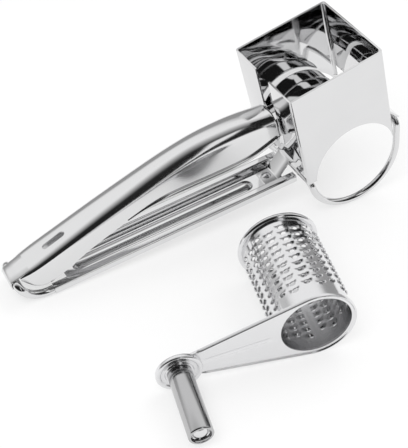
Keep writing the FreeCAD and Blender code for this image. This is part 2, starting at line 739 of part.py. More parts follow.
def arc_band(sketch, centre, inner, outer, start, end):
    """A band between two arcs round centre, from the angle start to the angle end, in degrees."""
    middle = Vector(size(centre[0]), size(centre[1]), 0)
    low = math.radians(size(start))
    high = math.radians(size(end))
    arcs = []
    for radius in (outer, inner):
        ring = Part.Circle(middle, Vector(0, 0, 1), size(radius))
        arcs.append(sketch.addGeometry(Part.ArcOfCircle(ring, low, high), False))
    for vertex, angle in ((2, high), (1, low)):
        far = middle + Vector(math.cos(angle), math.sin(angle), 0) * size(outer)
        near = middle + Vector(math.cos(angle), math.sin(angle), 0) * size(inner)
        line = sketch.addGeometry(Part.LineSegment(far, near), False)
        sketch.addConstraint(Sketcher.Constraint("Coincident", arcs[0], vertex, line, 1))
        sketch.addConstraint(Sketcher.Constraint("Coincident", line, 2, arcs[1], vertex))
    sketch.addConstraint(Sketcher.Constraint("Coincident", arcs[0], 3, arcs[1], 3))
    pin_point(sketch, arcs[0], 3, *centre)
    for arc, radius in zip(arcs, (outer, inner)):
        limit = sketch.addConstraint(Sketcher.Constraint("Radius", arc, size(radius)))
        sketch.setExpression("Constraints[%d]" % limit, full(radius))
        for vertex, angle in ((1, start), (2, end)):
            text = "%s + (%s) * cos((%s) * 1deg)" % (centre[0], radius, angle)
            index = sketch.addConstraint(Sketcher.Constraint("DistanceX", arc, vertex, size(text)))
            sketch.setExpression("Constraints[%d]" % index, full(text))
    return sketch


PLATE_CENTRE = ("plate_x", "plate_z")
RIVET_ANGLES = (size("presser_rivet_right"), size("presser_rivet_left"))


def rivet_holes():
    """Cylinders through the plate and the saddle, square to both."""
    holes = []
    for angle in RIVET_ANGLES:
        out = Vector(math.cos(math.radians(angle)), 0, math.sin(math.radians(angle)))
        base = Vector(size("plate_x"), 0, size("plate_z")) + out * size("plate_radius - plate_sheet - cut_past")
        holes.append(Part.makeCylinder(size("rivet_radius"), size("plate_sheet + saddle_sheet + 2 * cut_past"),
                                       base, out))
    return Part.makeCompound(holes)


def drilled(label, body):
    """The body with the rivet holes cut through it."""
    cutter = plain_feature(label + "_holes", rivet_holes())
    cut = doc.addObject("Part::Cut", label)
    cut.Base = body
    cut.Tool = cutter
    cut.Label = label
    doc.recompute()
    if not cut.Shape.Volume < body.Shape.Volume:
        raise ValueError(label + " is not drilled")
    return cut


def make_plate():
    """The curved plate that presses the food on the drum."""
    body = new_body("presser_plate_body")
    arc = arc_band(new_sketch(body, "Arc", "XZ_Plane"), PLATE_CENTRE, "plate_radius - plate_sheet",
                   "plate_radius", "plate_from", "plate_to")
    pad(body, arc, "2 * plate_half", symmetric=True)
    return drilled("presser_plate", body)


def make_saddle():
    """The narrower curved band that lies on the plate and carries the arm."""
    body = new_body("presser_bracket_body")
    arc = arc_band(new_sketch(body, "Arc", "XZ_Plane"), PLATE_CENTRE, "plate_radius",
                   "plate_radius + saddle_sheet", "saddle_from", "saddle_to")
    pad(body, arc, "2 * saddle_half", symmetric=True)
    return drilled("presser_bracket", body)


def presser_rivets_shape():
    rivets = []
    sag = size("(rivet_head_radius) ^ 2 / (2 * (plate_radius - plate_sheet))")
    for angle in RIVET_ANGLES:
        out = Vector(math.cos(math.radians(angle)), 0, math.sin(math.radians(angle)))
        rivet = rivet_shape(size("saddle_sheet + plate_sheet") + sag)
        top = Vector(size("plate_x"), 0, size("plate_z")) + out * size("plate_radius + saddle_sheet")
        rivet.Placement = Placement(top, Rotation(Vector(0, 0, 1), out))
        rivets.append(rivet)
    return Part.makeCompound(rivets)


# ---------------------------------------------------------------- drum and crank, axis along Y
def turned(label, outline):
    """A body turned round Y from an outline of (radius, distance along Y) expressions."""
    body = new_body(label)
    revolve(body, polygon(new_sketch(body, "Profile", "XY_Plane"), outline))
    return body


BARREL_INNER = "(barrel_radius - barrel_sheet)"
BARREL_START = "(crank_sheet + collar_sheet)"


def make_barrel():
    """A thin tube with rows of holes in staggered columns."""
    body = turned("drum_barrel", [(BARREL_INNER, BARREL_START), ("barrel_radius", BARREL_START),
                                  ("barrel_radius", "drum_length + rim_width / 2"),
                                  (BARREL_INNER, "drum_length + rim_width / 2")])
    y_axis = [item for item in body.Origin.OriginFeatures if item.Role == "Y_Axis"][0]
    for name, shift in (("Even", 0.0), ("Odd", 0.5)):
        holes = new_sketch(body, name, "YZ_Plane")
        for row in range(int(size("tooth_rows"))):
            circle(holes, "tooth_start + tooth_pitch * %s" % (row + shift), "0", "tooth_hole")
        turn = size("tooth_phase") + 2 * shift * 360 / size("tooth_columns")
        holes.AttachmentOffset = Placement(Vector(0, 0, 0), Rotation(Vector(1, 0, 0), turn))
        cut = pocket(body, holes, "barrel_radius * 2")
        pattern = body.newObject("PartDesign::PolarPattern", name + "Columns")
        pattern.Originals = [cut]
        pattern.Axis = (y_axis, [""])
        pattern.Angle = 360
        pattern.setExpression("Occurrences", full("tooth_columns / 2"))
        body.Tip = pattern
        doc.recompute()
    return body


def make_crank():
    """The ring round the drum's mouth and the tapering arm, with raised edges and a groove."""
    body = new_body("crank_plate")
    disc = circle(new_sketch(body, "Disc", "XZ_Plane"), "0", "0", "ring_radius")
    pad(body, disc, "crank_sheet", reverse=True)
    across = "(-(ring_radius - crank_tip) / crank_length)"
    upright = "sqrt(1 - %s ^ 2)" % across
    taper = polygon(new_sketch(body, "Taper", "XZ_Plane"), [
        ("ring_radius * " + across, "ring_radius * " + upright),
        ("-crank_length + crank_tip * " + across, "crank_tip * " + upright),
        ("-crank_length + crank_tip * " + across, "-crank_tip * " + upright),
        ("ring_radius * " + across, "-ring_radius * " + upright)])
    pad(body, taper, "crank_sheet", reverse=True)
    end = circle(new_sketch(body, "End", "XZ_Plane"), "-crank_length", "0", "crank_tip")
    pad(body, end, "crank_sheet", reverse=True)
    lip = circle(new_sketch(body, "Lip", "XZ_Plane"), "0", "0", "ring_radius")
    circle(lip, "0", "0", "ring_radius - ring_lip_width")
    pad(body, lip, "ring_lip")
    edge_end = "(-crank_length + boss_radius)"
    rail_outer = "(ring_radius - %s * %s) / %s" % (across, edge_end, upright)
    rail_inner = "(ring_radius - ring_lip_width - %s * %s) / %s" % (across, edge_end, upright)
    for name, sign in (("UpperEdge", ""), ("LowerEdge", "-")):
        rail = polygon(new_sketch(body, name, "XZ_Plane"), [
            ("ring_radius * " + across, sign + "ring_radius * " + upright),
            ("(ring_radius - ring_lip_width) * " + across, sign + "(ring_radius - ring_lip_width) * " + upright),
            (edge_end, "%s(%s)" % (sign, rail_inner)),
            (edge_end, "%s(%s)" % (sign, rail_outer))])
        pad(body, rail, "ring_lip")
    groove = rectangle(new_sketch(body, "Groove", "XZ_Plane"),
                       edge_end + " + groove_half", "-ring_radius - groove_half", "-groove_half", "groove_half")
    pocket(body, groove, "groove_depth")
    mouth = circle(new_sketch(body, "Mouth", "XZ_Plane"), "0", "0", "ring_hole")
    pocket(body, mouth, "crank_sheet * 4", symmetric=True)
    pin = circle(new_sketch(body, "Pin", "XZ_Plane"), "-crank_length", "0", "spindle_radius")
    pocket(body, pin, "crank_sheet * 4", symmetric=True)
    return body


def round_rim(body, base, radius_text, rounding):
    """Round the circular edges of base that have this radius."""
    radius = size(radius_text)

    def chosen(edge):
        return edge.Curve.TypeId == "Part::GeomCircle" and abs(edge.Curve.Radius - radius) < 0.01

    return fillet(body, base, chosen, rounding)


def make_rim():
    """The rolled ring at the drum's far end."""
    body = turned("drum_rim", [("barrel_radius", "drum_length - rim_width / 2"),
                               ("rim_radius", "drum_length - rim_width / 2"),
                               ("rim_radius", "drum_length + rim_width / 2"),
                               ("barrel_radius", "drum_length + rim_width / 2")])
    round_rim(body, body.Tip, "rim_radius", "rim_round")
    return body


def make_collar():
    """The flange and sleeve that join the barrel to the crank plate."""
    sleeve = "(%s - collar_sheet)" % BARREL_INNER
    return turned("drum_collar", [(sleeve, "crank_sheet"), ("collar_flange", "crank_sheet"),
                                  ("collar_flange", BARREL_START), (BARREL_INNER, BARREL_START),
                                  (BARREL_INNER, "collar_length"), (sleeve, "collar_length")])


def make_seam_strip():
    """The lap of the barrel's sheet, along its inside."""
    body = new_body("drum_seam_strip")
    half = "seam_width / barrel_radius * 90 / pi"
    lap = arc_band(new_sketch(body, "Lap", "XZ_Plane", "-collar_length"), ("0", "0"),
                   BARREL_INNER + " - barrel_sheet", BARREL_INNER,
                   "seam_angle - " + half, "seam_angle + " + half)
    pad(body, lap, "drum_length + rim_width / 2 - collar_length", reverse=True)
    return body


HEAD_BASE = "(-(knob_length - cup_depth) - knob_clearance)"


def make_boss():
    """The round disc at the arm's end that the knob stands on."""
    body = turned("knob_boss", [("spindle_radius", "0"), ("boss_radius", "0"),
                                ("boss_radius", "-boss_height"), ("spindle_radius", "-boss_height")])
    round_rim(body, body.Tip, "boss_radius", "boss_round")
    return body


def make_spindle():
    """The knob's pin, headed behind the arm and in the knob's cup."""
    body = turned("knob_spindle", [("0", "crank_sheet + head_height / 2"),
                                   ("spindle_head", "crank_sheet + head_height / 2"),
                                   ("spindle_head", "crank_sheet"), ("spindle_radius", "crank_sheet"),
                                   ("spindle_radius", HEAD_BASE), ("spindle_head", HEAD_BASE),
                                   ("spindle_head", HEAD_BASE + " - head_height"),
                                   ("0", HEAD_BASE + " - head_height")])
    low = size(HEAD_BASE + " - head_height")

    def head_rim(edge):
        return edge.Curve.TypeId == "Part::GeomCircle" and abs(edge.CenterOfMass.y - low) < 0.01

    fillet(body, body.Tip, head_rim, "head_round")
    return body


def make_sleeve():
    """The turning grip, with a cup for the spindle's head."""
    bore = "(spindle_radius + knob_clearance)"
    cup = "(spindle_head + cup_gap)"
    start = "(-boss_height - rest_gap)"
    body = turned("knob_sleeve", [(bore, start), ("sleeve_radius", start), ("sleeve_radius", "-knob_length"),
                                  (cup, "-knob_length"), (cup, "-(knob_length - cup_depth)"),
                                  (bore, "-(knob_length - cup_depth)")])
    round_rim(body, body.Tip, "sleeve_radius", "sleeve_round")
    return body


# ---------------------------------------------------------------- where everything lies
def drum_placement():
    """The drum on the floor: ring, rim and knob disc touch it, and its axis keeps its heading."""
    heading = math.radians(size("drum_heading"))
    dip = math.asin((size("rim_radius") - size("ring_radius")) / size("drum_length + ring_lip"))
    toward = Vector(math.cos(dip) * math.sin(heading), -math.cos(dip) * math.cos(heading), -math.sin(dip))
    along = Vector(math.cos(heading), math.sin(heading), 0)
    upright = toward.cross(along)
    height = size("ring_radius") * math.cos(dip) + size("ring_lip") * math.sin(dip)
    free = height - size("boss_radius") * math.cos(dip) - size("boss_height") * math.sin(dip)
    droop = math.asin((free - size("rest_gap") / 10) / (size("crank_length") * math.cos(dip)))
    turn = Rotation(along, toward * -1, upright, "XYZ").multiply(Rotation(Vector(0, 1, 0), -math.degrees(droop)))
    return Placement(Vector(size("drum_along"), size("drum_across"), FLOOR + height), turn)


HOUSING = Placement(Vector(0, 0, 0), LYING)
IN_HANDLE = HOUSING.multiply(handle_frame)
DRUM = drum_placement()
KNOB = DRUM.multiply(Placement(Vector(-size("crank_length"), 0, 0), Rotation()))
ON_STRAP = IN_HANDLE.multiply(Placement(Vector(-size("strap_foot_start + strap_foot_end") / 2, 0,
                                               size("strap_sheet - floor_drop")), Rotation()))

PIECES = (
    (make_hopper(), HOUSING),
    (plain_feature("hoop_front", hoop_shape(-1)), HOUSING),
    (plain_feature("hoop_rear", hoop_shape(1)), HOUSING),
    (make_lower_handle(), IN_HANDLE),
    (plain_feature("tail_bar", tail_bar_shape()), HOUSING),
    (plain_feature("handle_bracket", strap_shape()), IN_HANDLE),
    (plain_feature("bracket_rivet", rivet_shape(size("strap_sheet + handle_sheet"))), ON_STRAP),
    (plain_feature("press_handle", press_handle_shape()), HOUSING),
    (make_arm(), HOUSING),
    (make_saddle(), HOUSING),
    (make_plate(), HOUSING),
    (plain_feature("presser_rivets", presser_rivets_shape()), HOUSING),
    (make_barrel(), DRUM),
    (make_seam_strip(), DRUM),
    (make_rim(), DRUM),
    (make_collar(), DRUM),
    (make_crank(), DRUM),
    (make_boss(), KNOB),
    (make_spindle(), KNOB),
    (make_sleeve(), KNOB),
)

for piece, frame in PIECES:
    piece.Placement = frame
doc.recompute()
whole = FreeCAD.BoundBox()
for piece, frame in PIECES:
    whole.add(piece.Shape.optimalBoundingBox(False, False))
CENTRED = Placement(Vector(-whole.Center.x, -whole.Center.y, -FLOOR), Rotation())
for piece, frame in PIECES:
    piece.Placement = CENTRED.multiply(frame)
doc.recompute()

for item in doc.Objects:
    if "Invalid" in item.State or "Error" in item.State:
        raise ValueError("%s failed: %s" % (item.Label, item.State))
for piece, frame in PIECES:
    if piece.Shape.isNull() or not piece.Shape.isValid():
        raise ValueError(piece.Label + " has no valid shape")

os.makedirs("parts", exist_ok=True)
for piece, frame in PIECES:
    piece.Shape.exportStep("parts/%s.step" % piece.Label)
    print("%-16s solids %d  volume %9.2f mm3" % (piece.Label, len(piece.Shape.Solids), piece.Shape.Volume))
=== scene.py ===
"""Rotary cabbage shredder in polished steel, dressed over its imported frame.

Lengths are in millimetres until a Place turns them into metres.  The tool's own frame has the
drum seat's axis along Y at the origin, the handle towards -X and the hopper open towards +Z.
"""
import math

import bmesh
import bpy
import numpy as np
from mathutils import Matrix, Vector


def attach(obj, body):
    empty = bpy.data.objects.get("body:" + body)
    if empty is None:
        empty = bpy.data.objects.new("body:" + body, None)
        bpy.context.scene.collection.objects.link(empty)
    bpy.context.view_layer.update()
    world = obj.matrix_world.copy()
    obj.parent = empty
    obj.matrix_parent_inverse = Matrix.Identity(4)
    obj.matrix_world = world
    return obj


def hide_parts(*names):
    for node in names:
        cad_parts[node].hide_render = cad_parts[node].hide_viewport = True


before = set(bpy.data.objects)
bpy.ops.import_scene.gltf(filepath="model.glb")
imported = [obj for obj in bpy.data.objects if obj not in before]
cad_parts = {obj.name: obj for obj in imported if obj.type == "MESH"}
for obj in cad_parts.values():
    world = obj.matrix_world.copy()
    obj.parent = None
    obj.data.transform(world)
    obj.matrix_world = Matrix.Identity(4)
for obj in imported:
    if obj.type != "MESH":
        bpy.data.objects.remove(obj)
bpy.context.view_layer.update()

# ---------------------------------------------------------------- sizes
TOOL_TILT = math.radians(13.5104)
TOOL_ORIGIN = (80.009, 54.038, 28.839)

SEAT_X = 2.4
ROD_RADIUS = 1.9
ROD_BEND = 4.0
HOOP_RADIUS = 27.5
HOOP_LEAN = math.radians(8.0)
CROSS_HEIGHT = 1.0
LIP_BAR_HEIGHT = 10.5
HOPPER_HALF_DEPTH = 27.5
HOPPER_HALF_WIDTH = 28.05
HOPPER_SHEET = 1.0
FOLD_RADIUS = 1.9
FOLD_FOOT = 13.0
FOLD_TOP = 64.35
FOLD_BACK = 0.15

EDGE_RADIUS = 2.4
EDGE_HALF = 10.2
EDGE_DROP = 5.3
EDGE_INSET = 2.2
HANDLE_SLOPE = math.radians(7.37)
HANDLE_REACH = 146.0
HANDLE_SHEET = 0.6
FLOOR_DROP = 1.2
FLOOR_SETBACK = 5.0
FLOOR_SHORT = 9.0
SEAM_GAP = 0.35
BEAD_START = 22.0
BEAD_END = 131.0
BEAD_HALF = 4.2
BEAD_RISE = 1.5

BAR_RADIUS = 2.3
BAR_RUN = 2.0
BAR_BEND = 15.0
BAR_RISE = math.radians(70.0)
BAR_CORNER = 2.6
SPIGOT_RADIUS = 1.75
SPIGOT_LENGTH = 10.0

STRAP_HALF = 6.0
STRAP_SHEET = 0.8
STRAP_FOOT_START = 16.0
STRAP_FOOT_END = 8.0
STRAP_WRAP = math.radians(80.0)
ROD_CLEARANCE = 0.15

PRESS_SHEET = 0.8
HINGE_CLEARANCE = 0.15
HOOK_HALF = 7.0
HOOK_LEAD = 9.0
SLOT_CUT_HEIGHT = 30.0
NOSE_GAP = 0.8
HANG_CENTRE = 27.0
HANG_LENGTH = 13.5
HANG_WIDTH = 3.6
CROWN_LINE = [(0.0, 3.25), (28.0, 8.6), (66.0, 15.6), (108.0, 21.6), (135.0, 20.2)]
FOOT_LINE = [(3.0, 1.4), (8.0, -5.4), (16.0, -8.2), (46.0, -0.4), (78.0, 3.9), (135.0, -2.6)]
WIDTH_LINE = [(3.0, 7.5), (10.0, 9.0), (28.0, 9.4), (132.0, 9.5)]
NOSE_CROWN = 15.2
NOSE_FOOT = 0.4
NOSE_HALF = 9.0
TAIL_SHOULDER = 1.9
CROWN_SHOULDER = 8.2
SHOULDER_GROWTH = 0.8
CROWN_ALONG = 108.0
EDGE_BEAD_START = 79.0
EDGE_BEAD_RADIUS = 1.4

PLATE_CENTRE = (-1.9, 7.3)
PLATE_RADIUS = 24.0
PLATE_SHEET = 1.0
PLATE_HALF = 24.9
PLATE_FROM = math.radians(38.0)
PLATE_TO = math.radians(142.0)
SADDLE_SHEET = 1.2
SADDLE_HALF = 16.0
SADDLE_FROM = math.radians(43.0)
SADDLE_TO = math.radians(137.0)
SADDLE_EDGE = 3.6
SADDLE_LIFT = 0.02
SADDLE_RIM = 0.08

DRUM_HEADING = math.radians(-12.0)
DRUM_SPOT = (4.509, -56.462)
BARREL_RADIUS = 19.4
BARREL_SHEET = 0.5
BARREL_START = 1.9
BARREL_PAST = 1.0
# Inside this radius the drum's steel is duller and its colour is darkened as painted shade of the bore.
BORE_PAINTED_SHADE_RADIUS = 19.15
DRUM_LENGTH = 56.5
RIM_RADIUS = 21.5
RIM_WIDTH = 3.2
RING_RADIUS = 20.4
RING_HOLE = 17.9
RING_LIP = 0.8
CRANK_SHEET = 1.2
CRANK_LENGTH = 69.0
CRANK_TIP = 6.0
GROOVE_DEPTH = 0.45
GROOVE_FLOOR = 0.4
GROOVE_EDGE = 1.9
GROOVE_FROM_BOSS = 2.2
GROOVE_FROM_RING = 3.2
TOOTH_COLUMNS = 18
TOOTH_ROWS = 10
TOOTH_PITCH = 4.3
TOOTH_START = 9.0
TOOTH_PHASE = math.radians(12.0)
TOOTH_RISE = 1.15
TOOTH_HALF_WIDTH = 2.1
TOOTH_HALF_LENGTH = 1.3
TOOTH_SPOKES = 16
TOOTH_RINGS = (0.0, 0.42, 0.62, 0.78, 0.9, 1.0)
BOSS_RADIUS = 11.5
BOSS_HEIGHT = 2.6
SLEEVE_RADIUS = 6.1
KNOB_LENGTH = 39.2
CUP_RADIUS = 4.8
CUP_DEPTH = 2.2
BORE_RADIUS = 2.6
SPINDLE_RADIUS = 2.5
SPINDLE_HEAD = 4.2
HEAD_HEIGHT = 1.8
TAIL_HEAD = 0.9
DISH_DEPTH = 0.9
REST_GAP = 0.2
KNOB_CLEARANCE = 0.1

TURN = 2 * math.pi


# ---------------------------------------------------------------- places
class Place:
    """A frame in the room: origin and three axes; calling it turns its own points into metres."""

    def __init__(self, origin, x, y, z):
        self.origin = np.array(origin, float)
        self.axes = np.array([x, y, z], float)

    def __call__(self, points):
        return (self.origin + np.asarray(points, float) @ self.axes) / 1000

    def inside(self, origin, x, y, z):
        """A frame given in this one."""
        turned = np.array([x, y, z]) @ self.axes
        return Place(self.origin + np.array(origin, float) @ self.axes, *turned)

    def turned_origin(self):
        """The origin in metres, along this frame's own axes."""
        return tuple(self.axes @ self.origin / 1000)

    def matrix(self):
        """The turn from the room to this frame, for a Mapping node."""
        return Matrix([tuple(axis) for axis in self.axes])


def drum_place():
    """The drum lies on its ring, its rim and the knob's disc, its mouth towards the viewer."""
    dip = math.asin((RIM_RADIUS - RING_RADIUS) / (DRUM_LENGTH + RING_LIP))
    toward = np.array([math.cos(dip) * math.sin(DRUM_HEADING), -math.cos(dip) * math.cos(DRUM_HEADING),
                       -math.sin(dip)])
    along = np.array([math.cos(DRUM_HEADING), math.sin(DRUM_HEADING), 0.0])
    upright = np.cross(toward, along)
    height = RING_RADIUS * math.cos(dip) + RING_LIP * math.sin(dip)
    free = height - BOSS_RADIUS * math.cos(dip) - BOSS_HEIGHT * math.sin(dip)
    droop = math.asin((free - REST_GAP / 10) / (CRANK_LENGTH * math.cos(dip)))
    x_axis = along * math.cos(droop) + upright * math.sin(droop)
    z_axis = upright * math.cos(droop) - along * math.sin(droop)
    return Place((DRUM_SPOT[0], DRUM_SPOT[1], height), x_axis, -toward, z_axis)


TOOL = Place(TOOL_ORIGIN, (math.cos(TOOL_TILT), 0, math.sin(TOOL_TILT)), (0, 1, 0),
             (-math.sin(TOOL_TILT), 0, math.cos(TOOL_TILT)))
DRUM = drum_place()
KNOB = DRUM.inside((-CRANK_LENGTH, 0, 0), (1, 0, 0), (0, 1, 0), (0, 0, 1))

cross_reach = math.hypot(HOOP_RADIUS, ROD_BEND)
cross_angle = math.pi - math.asin(CROSS_HEIGHT / cross_reach)
CROSS_BAR = np.array([SEAT_X + cross_reach * math.cos(cross_angle), CROSS_HEIGHT])
HOOP_TOP = np.array([SEAT_X + HOOP_RADIUS * math.cos(HOOP_LEAN), -HOOP_RADIUS * math.sin(HOOP_LEAN)])
LIP_BAR_X = HOOP_TOP[0] + math.tan(HOOP_LEAN) * (LIP_BAR_HEIGHT - HOOP_TOP[1])
EDGE_ORIGIN = CROSS_BAR - (EDGE_INSET, EDGE_DROP)
HANDLE = TOOL.inside((EDGE_ORIGIN[0], 0, EDGE_ORIGIN[1]),
                     (math.cos(HANDLE_SLOPE), 0, -math.sin(HANDLE_SLOPE)), (0, 1, 0),
                     (math.sin(HANDLE_SLOPE), 0, math.cos(HANDLE_SLOPE)))
BACK_UP = np.array([-math.cos(HANDLE_SLOPE), math.sin(HANDLE_SLOPE)])
SEAM = EDGE_ORIGIN + BACK_UP * HANDLE_REACH
BAR_START = SEAM + BACK_UP * BAR_RUN
BEND_CENTRE = BAR_START + BAR_BEND * np.array([math.sin(HANDLE_SLOPE), math.cos(HANDLE_SLOPE)])
BEND_END = BEND_CENTRE - BAR_BEND * np.array([math.sin(BAR_RISE), math.cos(BAR_RISE)])
HINGE = BEND_END + BAR_CORNER * np.array([-math.cos(BAR_RISE), math.sin(BAR_RISE)])
NOSE_ALONG = -HOPPER_HALF_WIDTH - NOSE_GAP - HINGE[0]
CROWN_LINE.append((NOSE_ALONG, NOSE_CROWN))
FOOT_LINE.append((NOSE_ALONG, NOSE_FOOT))
WIDTH_LINE.append((NOSE_ALONG, NOSE_HALF))


# ---------------------------------------------------------------- curves
def xyz(x, y, z):
    """Points from three arrays or numbers, each spread over the size of the others."""
    return np.stack(np.broadcast_arrays(x, y, z), axis=-1)


def arc(centre, radius, start, end, count):
    """count points on a circle from one angle to the other, as (across, up) pairs."""
    angle = np.linspace(start, end, count)
    return np.stack([centre[0] + radius * np.cos(angle), centre[1] + radius * np.sin(angle)], axis=-1)


def rounded(corners, radii, steps=8):
    """A line through corners with each inner corner replaced by a tangent arc of its radius.

    The arc runs from corner + back * r / tan(half) to corner + ahead * r / tan(half), and its points
    are centre - (back side) * cos(turn) + heading * sin(turn)."""
    corners = [np.array(corner, float) for corner in corners]
    pieces = [corners[0][None]]
    for before, corner, after, radius in zip(corners, corners[1:], corners[2:], radii):
        back = (before - corner) / np.linalg.norm(before - corner)
        ahead = (after - corner) / np.linalg.norm(after - corner)
        half = math.acos(float(np.clip(back @ ahead, -1, 1))) / 2
        start = corner + back * (radius / math.tan(half))
        middle = (back + ahead) / np.linalg.norm(back + ahead)
        centre = corner + middle * (radius / math.sin(half))
        spoke = (start - centre) / radius
        turn = np.linspace(0, math.pi - 2 * half, steps)[:, None]
        pieces.append(centre + radius * (spoke * np.cos(turn) - back * np.sin(turn)))
    pieces.append(corners[-1][None])
    return np.concatenate(pieces)


def closed_profile(corners, radii, steps=6):
    """A closed outline through corners, each rounded by its radius."""
    loop = list(corners) + list(corners[:2])
    return rounded(loop, list(radii[1:]) + [radii[0]], steps)[1:-1]


def hermite(line, at):
    """A smooth line through (along, height) points: cubic spans whose end slopes are the slopes of
    the chords between neighbours."""
    x, y = np.array(line).T
    order = np.arange(len(x))
    low = np.maximum(order - 1, 0)
    high = np.minimum(order + 1, len(x) - 1)
    slope = (y[high] - y[low]) / (x[high] - x[low])
    span = np.clip(np.searchsorted(x, at) - 1, 0, len(x) - 2)
    width = x[span + 1] - x[span]
    t = (at - x[span]) / width
    return (y[span] + (y[span + 1] - y[span]) * (3 * t ** 2 - 2 * t ** 3)
            + slope[span] * width * (t - 2 * t ** 2 + t ** 3)
            + slope[span + 1] * width * (t ** 3 - t ** 2))


def softened(line, at, reach):
    """The line's mean over a window of this half width that closes at both of its ends."""
    ends = np.array(line)[[0, -1], 0]
    window = np.minimum(np.minimum(at - ends[0], ends[1] - at), reach).clip(0)
    shifts = np.linspace(-1, 1, 21)
    weights = np.cos(shifts * math.pi / 2) ** 2
    total = sum(weight * hermite(line, at + shift * window) for shift, weight in zip(shifts, weights))
    return total / weights.sum()


def headings(line):
    """The direction of a line at each of its points."""
    heading = np.gradient(line, axis=0)
    return heading / np.linalg.norm(heading, axis=1, keepdims=True)


def lifted(line, level):
    """An (across, up) line as points at one level along Y."""
    return xyz(line[:, 0], level, line[:, 1])


def ease(value, start, end):
    """0 before start, 1 after end, and a cubic S between them."""
    t = np.clip((value - start) / (end - start), 0, 1)
    return t * t * (3 - 2 * t)


# ---------------------------------------------------------------- surfaces
def quads(rows, columns, wrap_rows=False, wrap_columns=False, first=0):
    """Faces between the neighbours of a rows x columns grid of points."""
    row, column = np.meshgrid(np.arange(rows if wrap_rows else rows - 1),
                              np.arange(columns if wrap_columns else columns - 1), indexing="ij")
    row, column = row.ravel(), column.ravel()
    below, right = (row + 1) % rows, (column + 1) % columns
    corners = [row * columns + column, below * columns + column,
               below * columns + right, row * columns + right]
    return first + np.stack(corners, axis=1)


def surface(points, wrap_rows=False, wrap_columns=False):
    """One closed skin: a grid whose open ends meet in poles."""
    rows, columns = points.shape[:2]
    return points.reshape(-1, 3), quads(rows, columns, wrap_rows, wrap_columns)


def walled(outer, inner, wrap_rows=False, wrap_columns=False):
    """A sheet between two grids of one size, closed along its open edges."""
    rows, columns = outer.shape[:2]
    count = rows * columns
    index = np.arange(count).reshape(rows, columns)
    faces = [quads(rows, columns, wrap_rows, wrap_columns),
             quads(rows, columns, wrap_rows, wrap_columns, count)[:, ::-1]]
    edges = []
    if not wrap_columns:
        edges += [(index[::-1, 0], wrap_rows), (index[:, -1], wrap_rows)]
    if not wrap_rows:
        edges += [(index[0], wrap_columns), (index[-1, ::-1], wrap_columns)]
    for line, wraps in edges:
        following = np.roll(line, -1)
        if not wraps:
            line, following = line[:-1], following[:-1]
        faces.append(np.stack([line, following, following + count, line + count], axis=1))
    return np.concatenate([outer.reshape(-1, 3), inner.reshape(-1, 3)]), np.concatenate(faces)


def prism(outline, middle, low, high):
    """An upright bar from low to high with this outline; its flat ends meet in the middle point."""
    spread = np.array([0.0, 1.0, 1.0, 0.0])[:, None]
    points = np.zeros((4, len(outline), 3))
    for axis in (0, 1):
        points[:, :, axis] = middle[axis] + (outline[:, axis] - middle[axis]) * spread
    points[:, :, 2] = np.array([low, low, high, high])[:, None]
    return surface(points, wrap_columns=True)


def revolved(profile, count=96, closed=True):
    """A (radius, along Y) outline turned once round the Y axis."""
    angle = np.linspace(0, TURN, count, endpoint=False)
    radius, along = profile[:, 0, None], profile[:, 1, None]
    points = xyz(radius * np.cos(angle), along, radius * np.sin(angle))
    return surface(points, wrap_rows=closed, wrap_columns=True)


def rod(path, radius, sides=28):
    """A round rod along a path: circles square to the path's direction, ends closed to a point.

    Each circle is side * cos + up * sin, where side is square to the direction and to one fixed
    slanting line that no rod here follows."""
    path = np.asarray(path, float)
    keep = np.concatenate([[True], np.linalg.norm(np.diff(path, axis=0), axis=1) > 1e-4])
    path = path[keep]
    radius = np.broadcast_to(radius, len(keep))[keep]
    heading = headings(path)
    side = np.cross(heading, np.array([0.36, 0.48, 0.8]))
    side /= np.linalg.norm(side, axis=1, keepdims=True)
    up = np.cross(side, heading)
    path, side, up = [np.concatenate([rows[:1], rows, rows[-1:]]) for rows in (path, side, up)]
    reach = np.concatenate([[0], radius, [0]])[:, None, None]
    angle = np.linspace(0, TURN, sides, endpoint=False)[:, None]
    points = path[:, None] + reach * (side[:, None] * np.cos(angle) + up[:, None] * np.sin(angle))
    return surface(points, wrap_columns=True)


def band(line, half, thick, edge=0.25, widen=None):
    """A flat bar of sheet that follows a line in the XZ plane, with rounded long edges.

    The section is a rectangle 2 * half by thick with its corners rounded; each section stands square
    to the line."""
    heading = headings(line)
    normal = np.stack([-heading[:, 1], heading[:, 0]], axis=1)
    section = closed_profile([(-half, -thick / 2), (half, -thick / 2), (half, thick / 2),
                              (-half, thick / 2)], [edge] * 4, 4)
    width = np.ones(len(line)) if widen is None else widen
    points = xyz(line[:, None, 0] + normal[:, None, 0] * section[:, 1], section[:, 0] * width[:, None],
                 line[:, None, 1] + normal[:, None, 1] * section[:, 1])
    ends = [np.repeat(points[row].mean(axis=0)[None, None], len(section), axis=1) for row in (0, -1)]
    return surface(np.concatenate([ends[0], points, ends[1]]), wrap_columns=True)


def resampled(line, step, rounding):
    """The line at equal steps, its corners softened by a moving mean of this width."""
    run = np.concatenate([[0], np.cumsum(np.linalg.norm(np.diff(line, axis=0), axis=1))])
    at = np.linspace(0, run[-1], int(run[-1] / step) + 2)
    even = np.stack([np.interp(at, run, line[:, axis]) for axis in range(line.shape[1])], axis=1)
    window = max(int(rounding / step) | 1, 1)
    spread = window // 2
    padded = np.concatenate([2 * even[:1] - even[spread:0:-1], even,
                             2 * even[-1:] - even[-2:-spread - 2:-1]])
    kernel = np.hanning(window + 2)[1:-1]
    kernel /= kernel.sum()
    return np.stack([np.convolve(padded[:, axis], kernel, mode="valid")
                     for axis in range(line.shape[1])], axis=1)


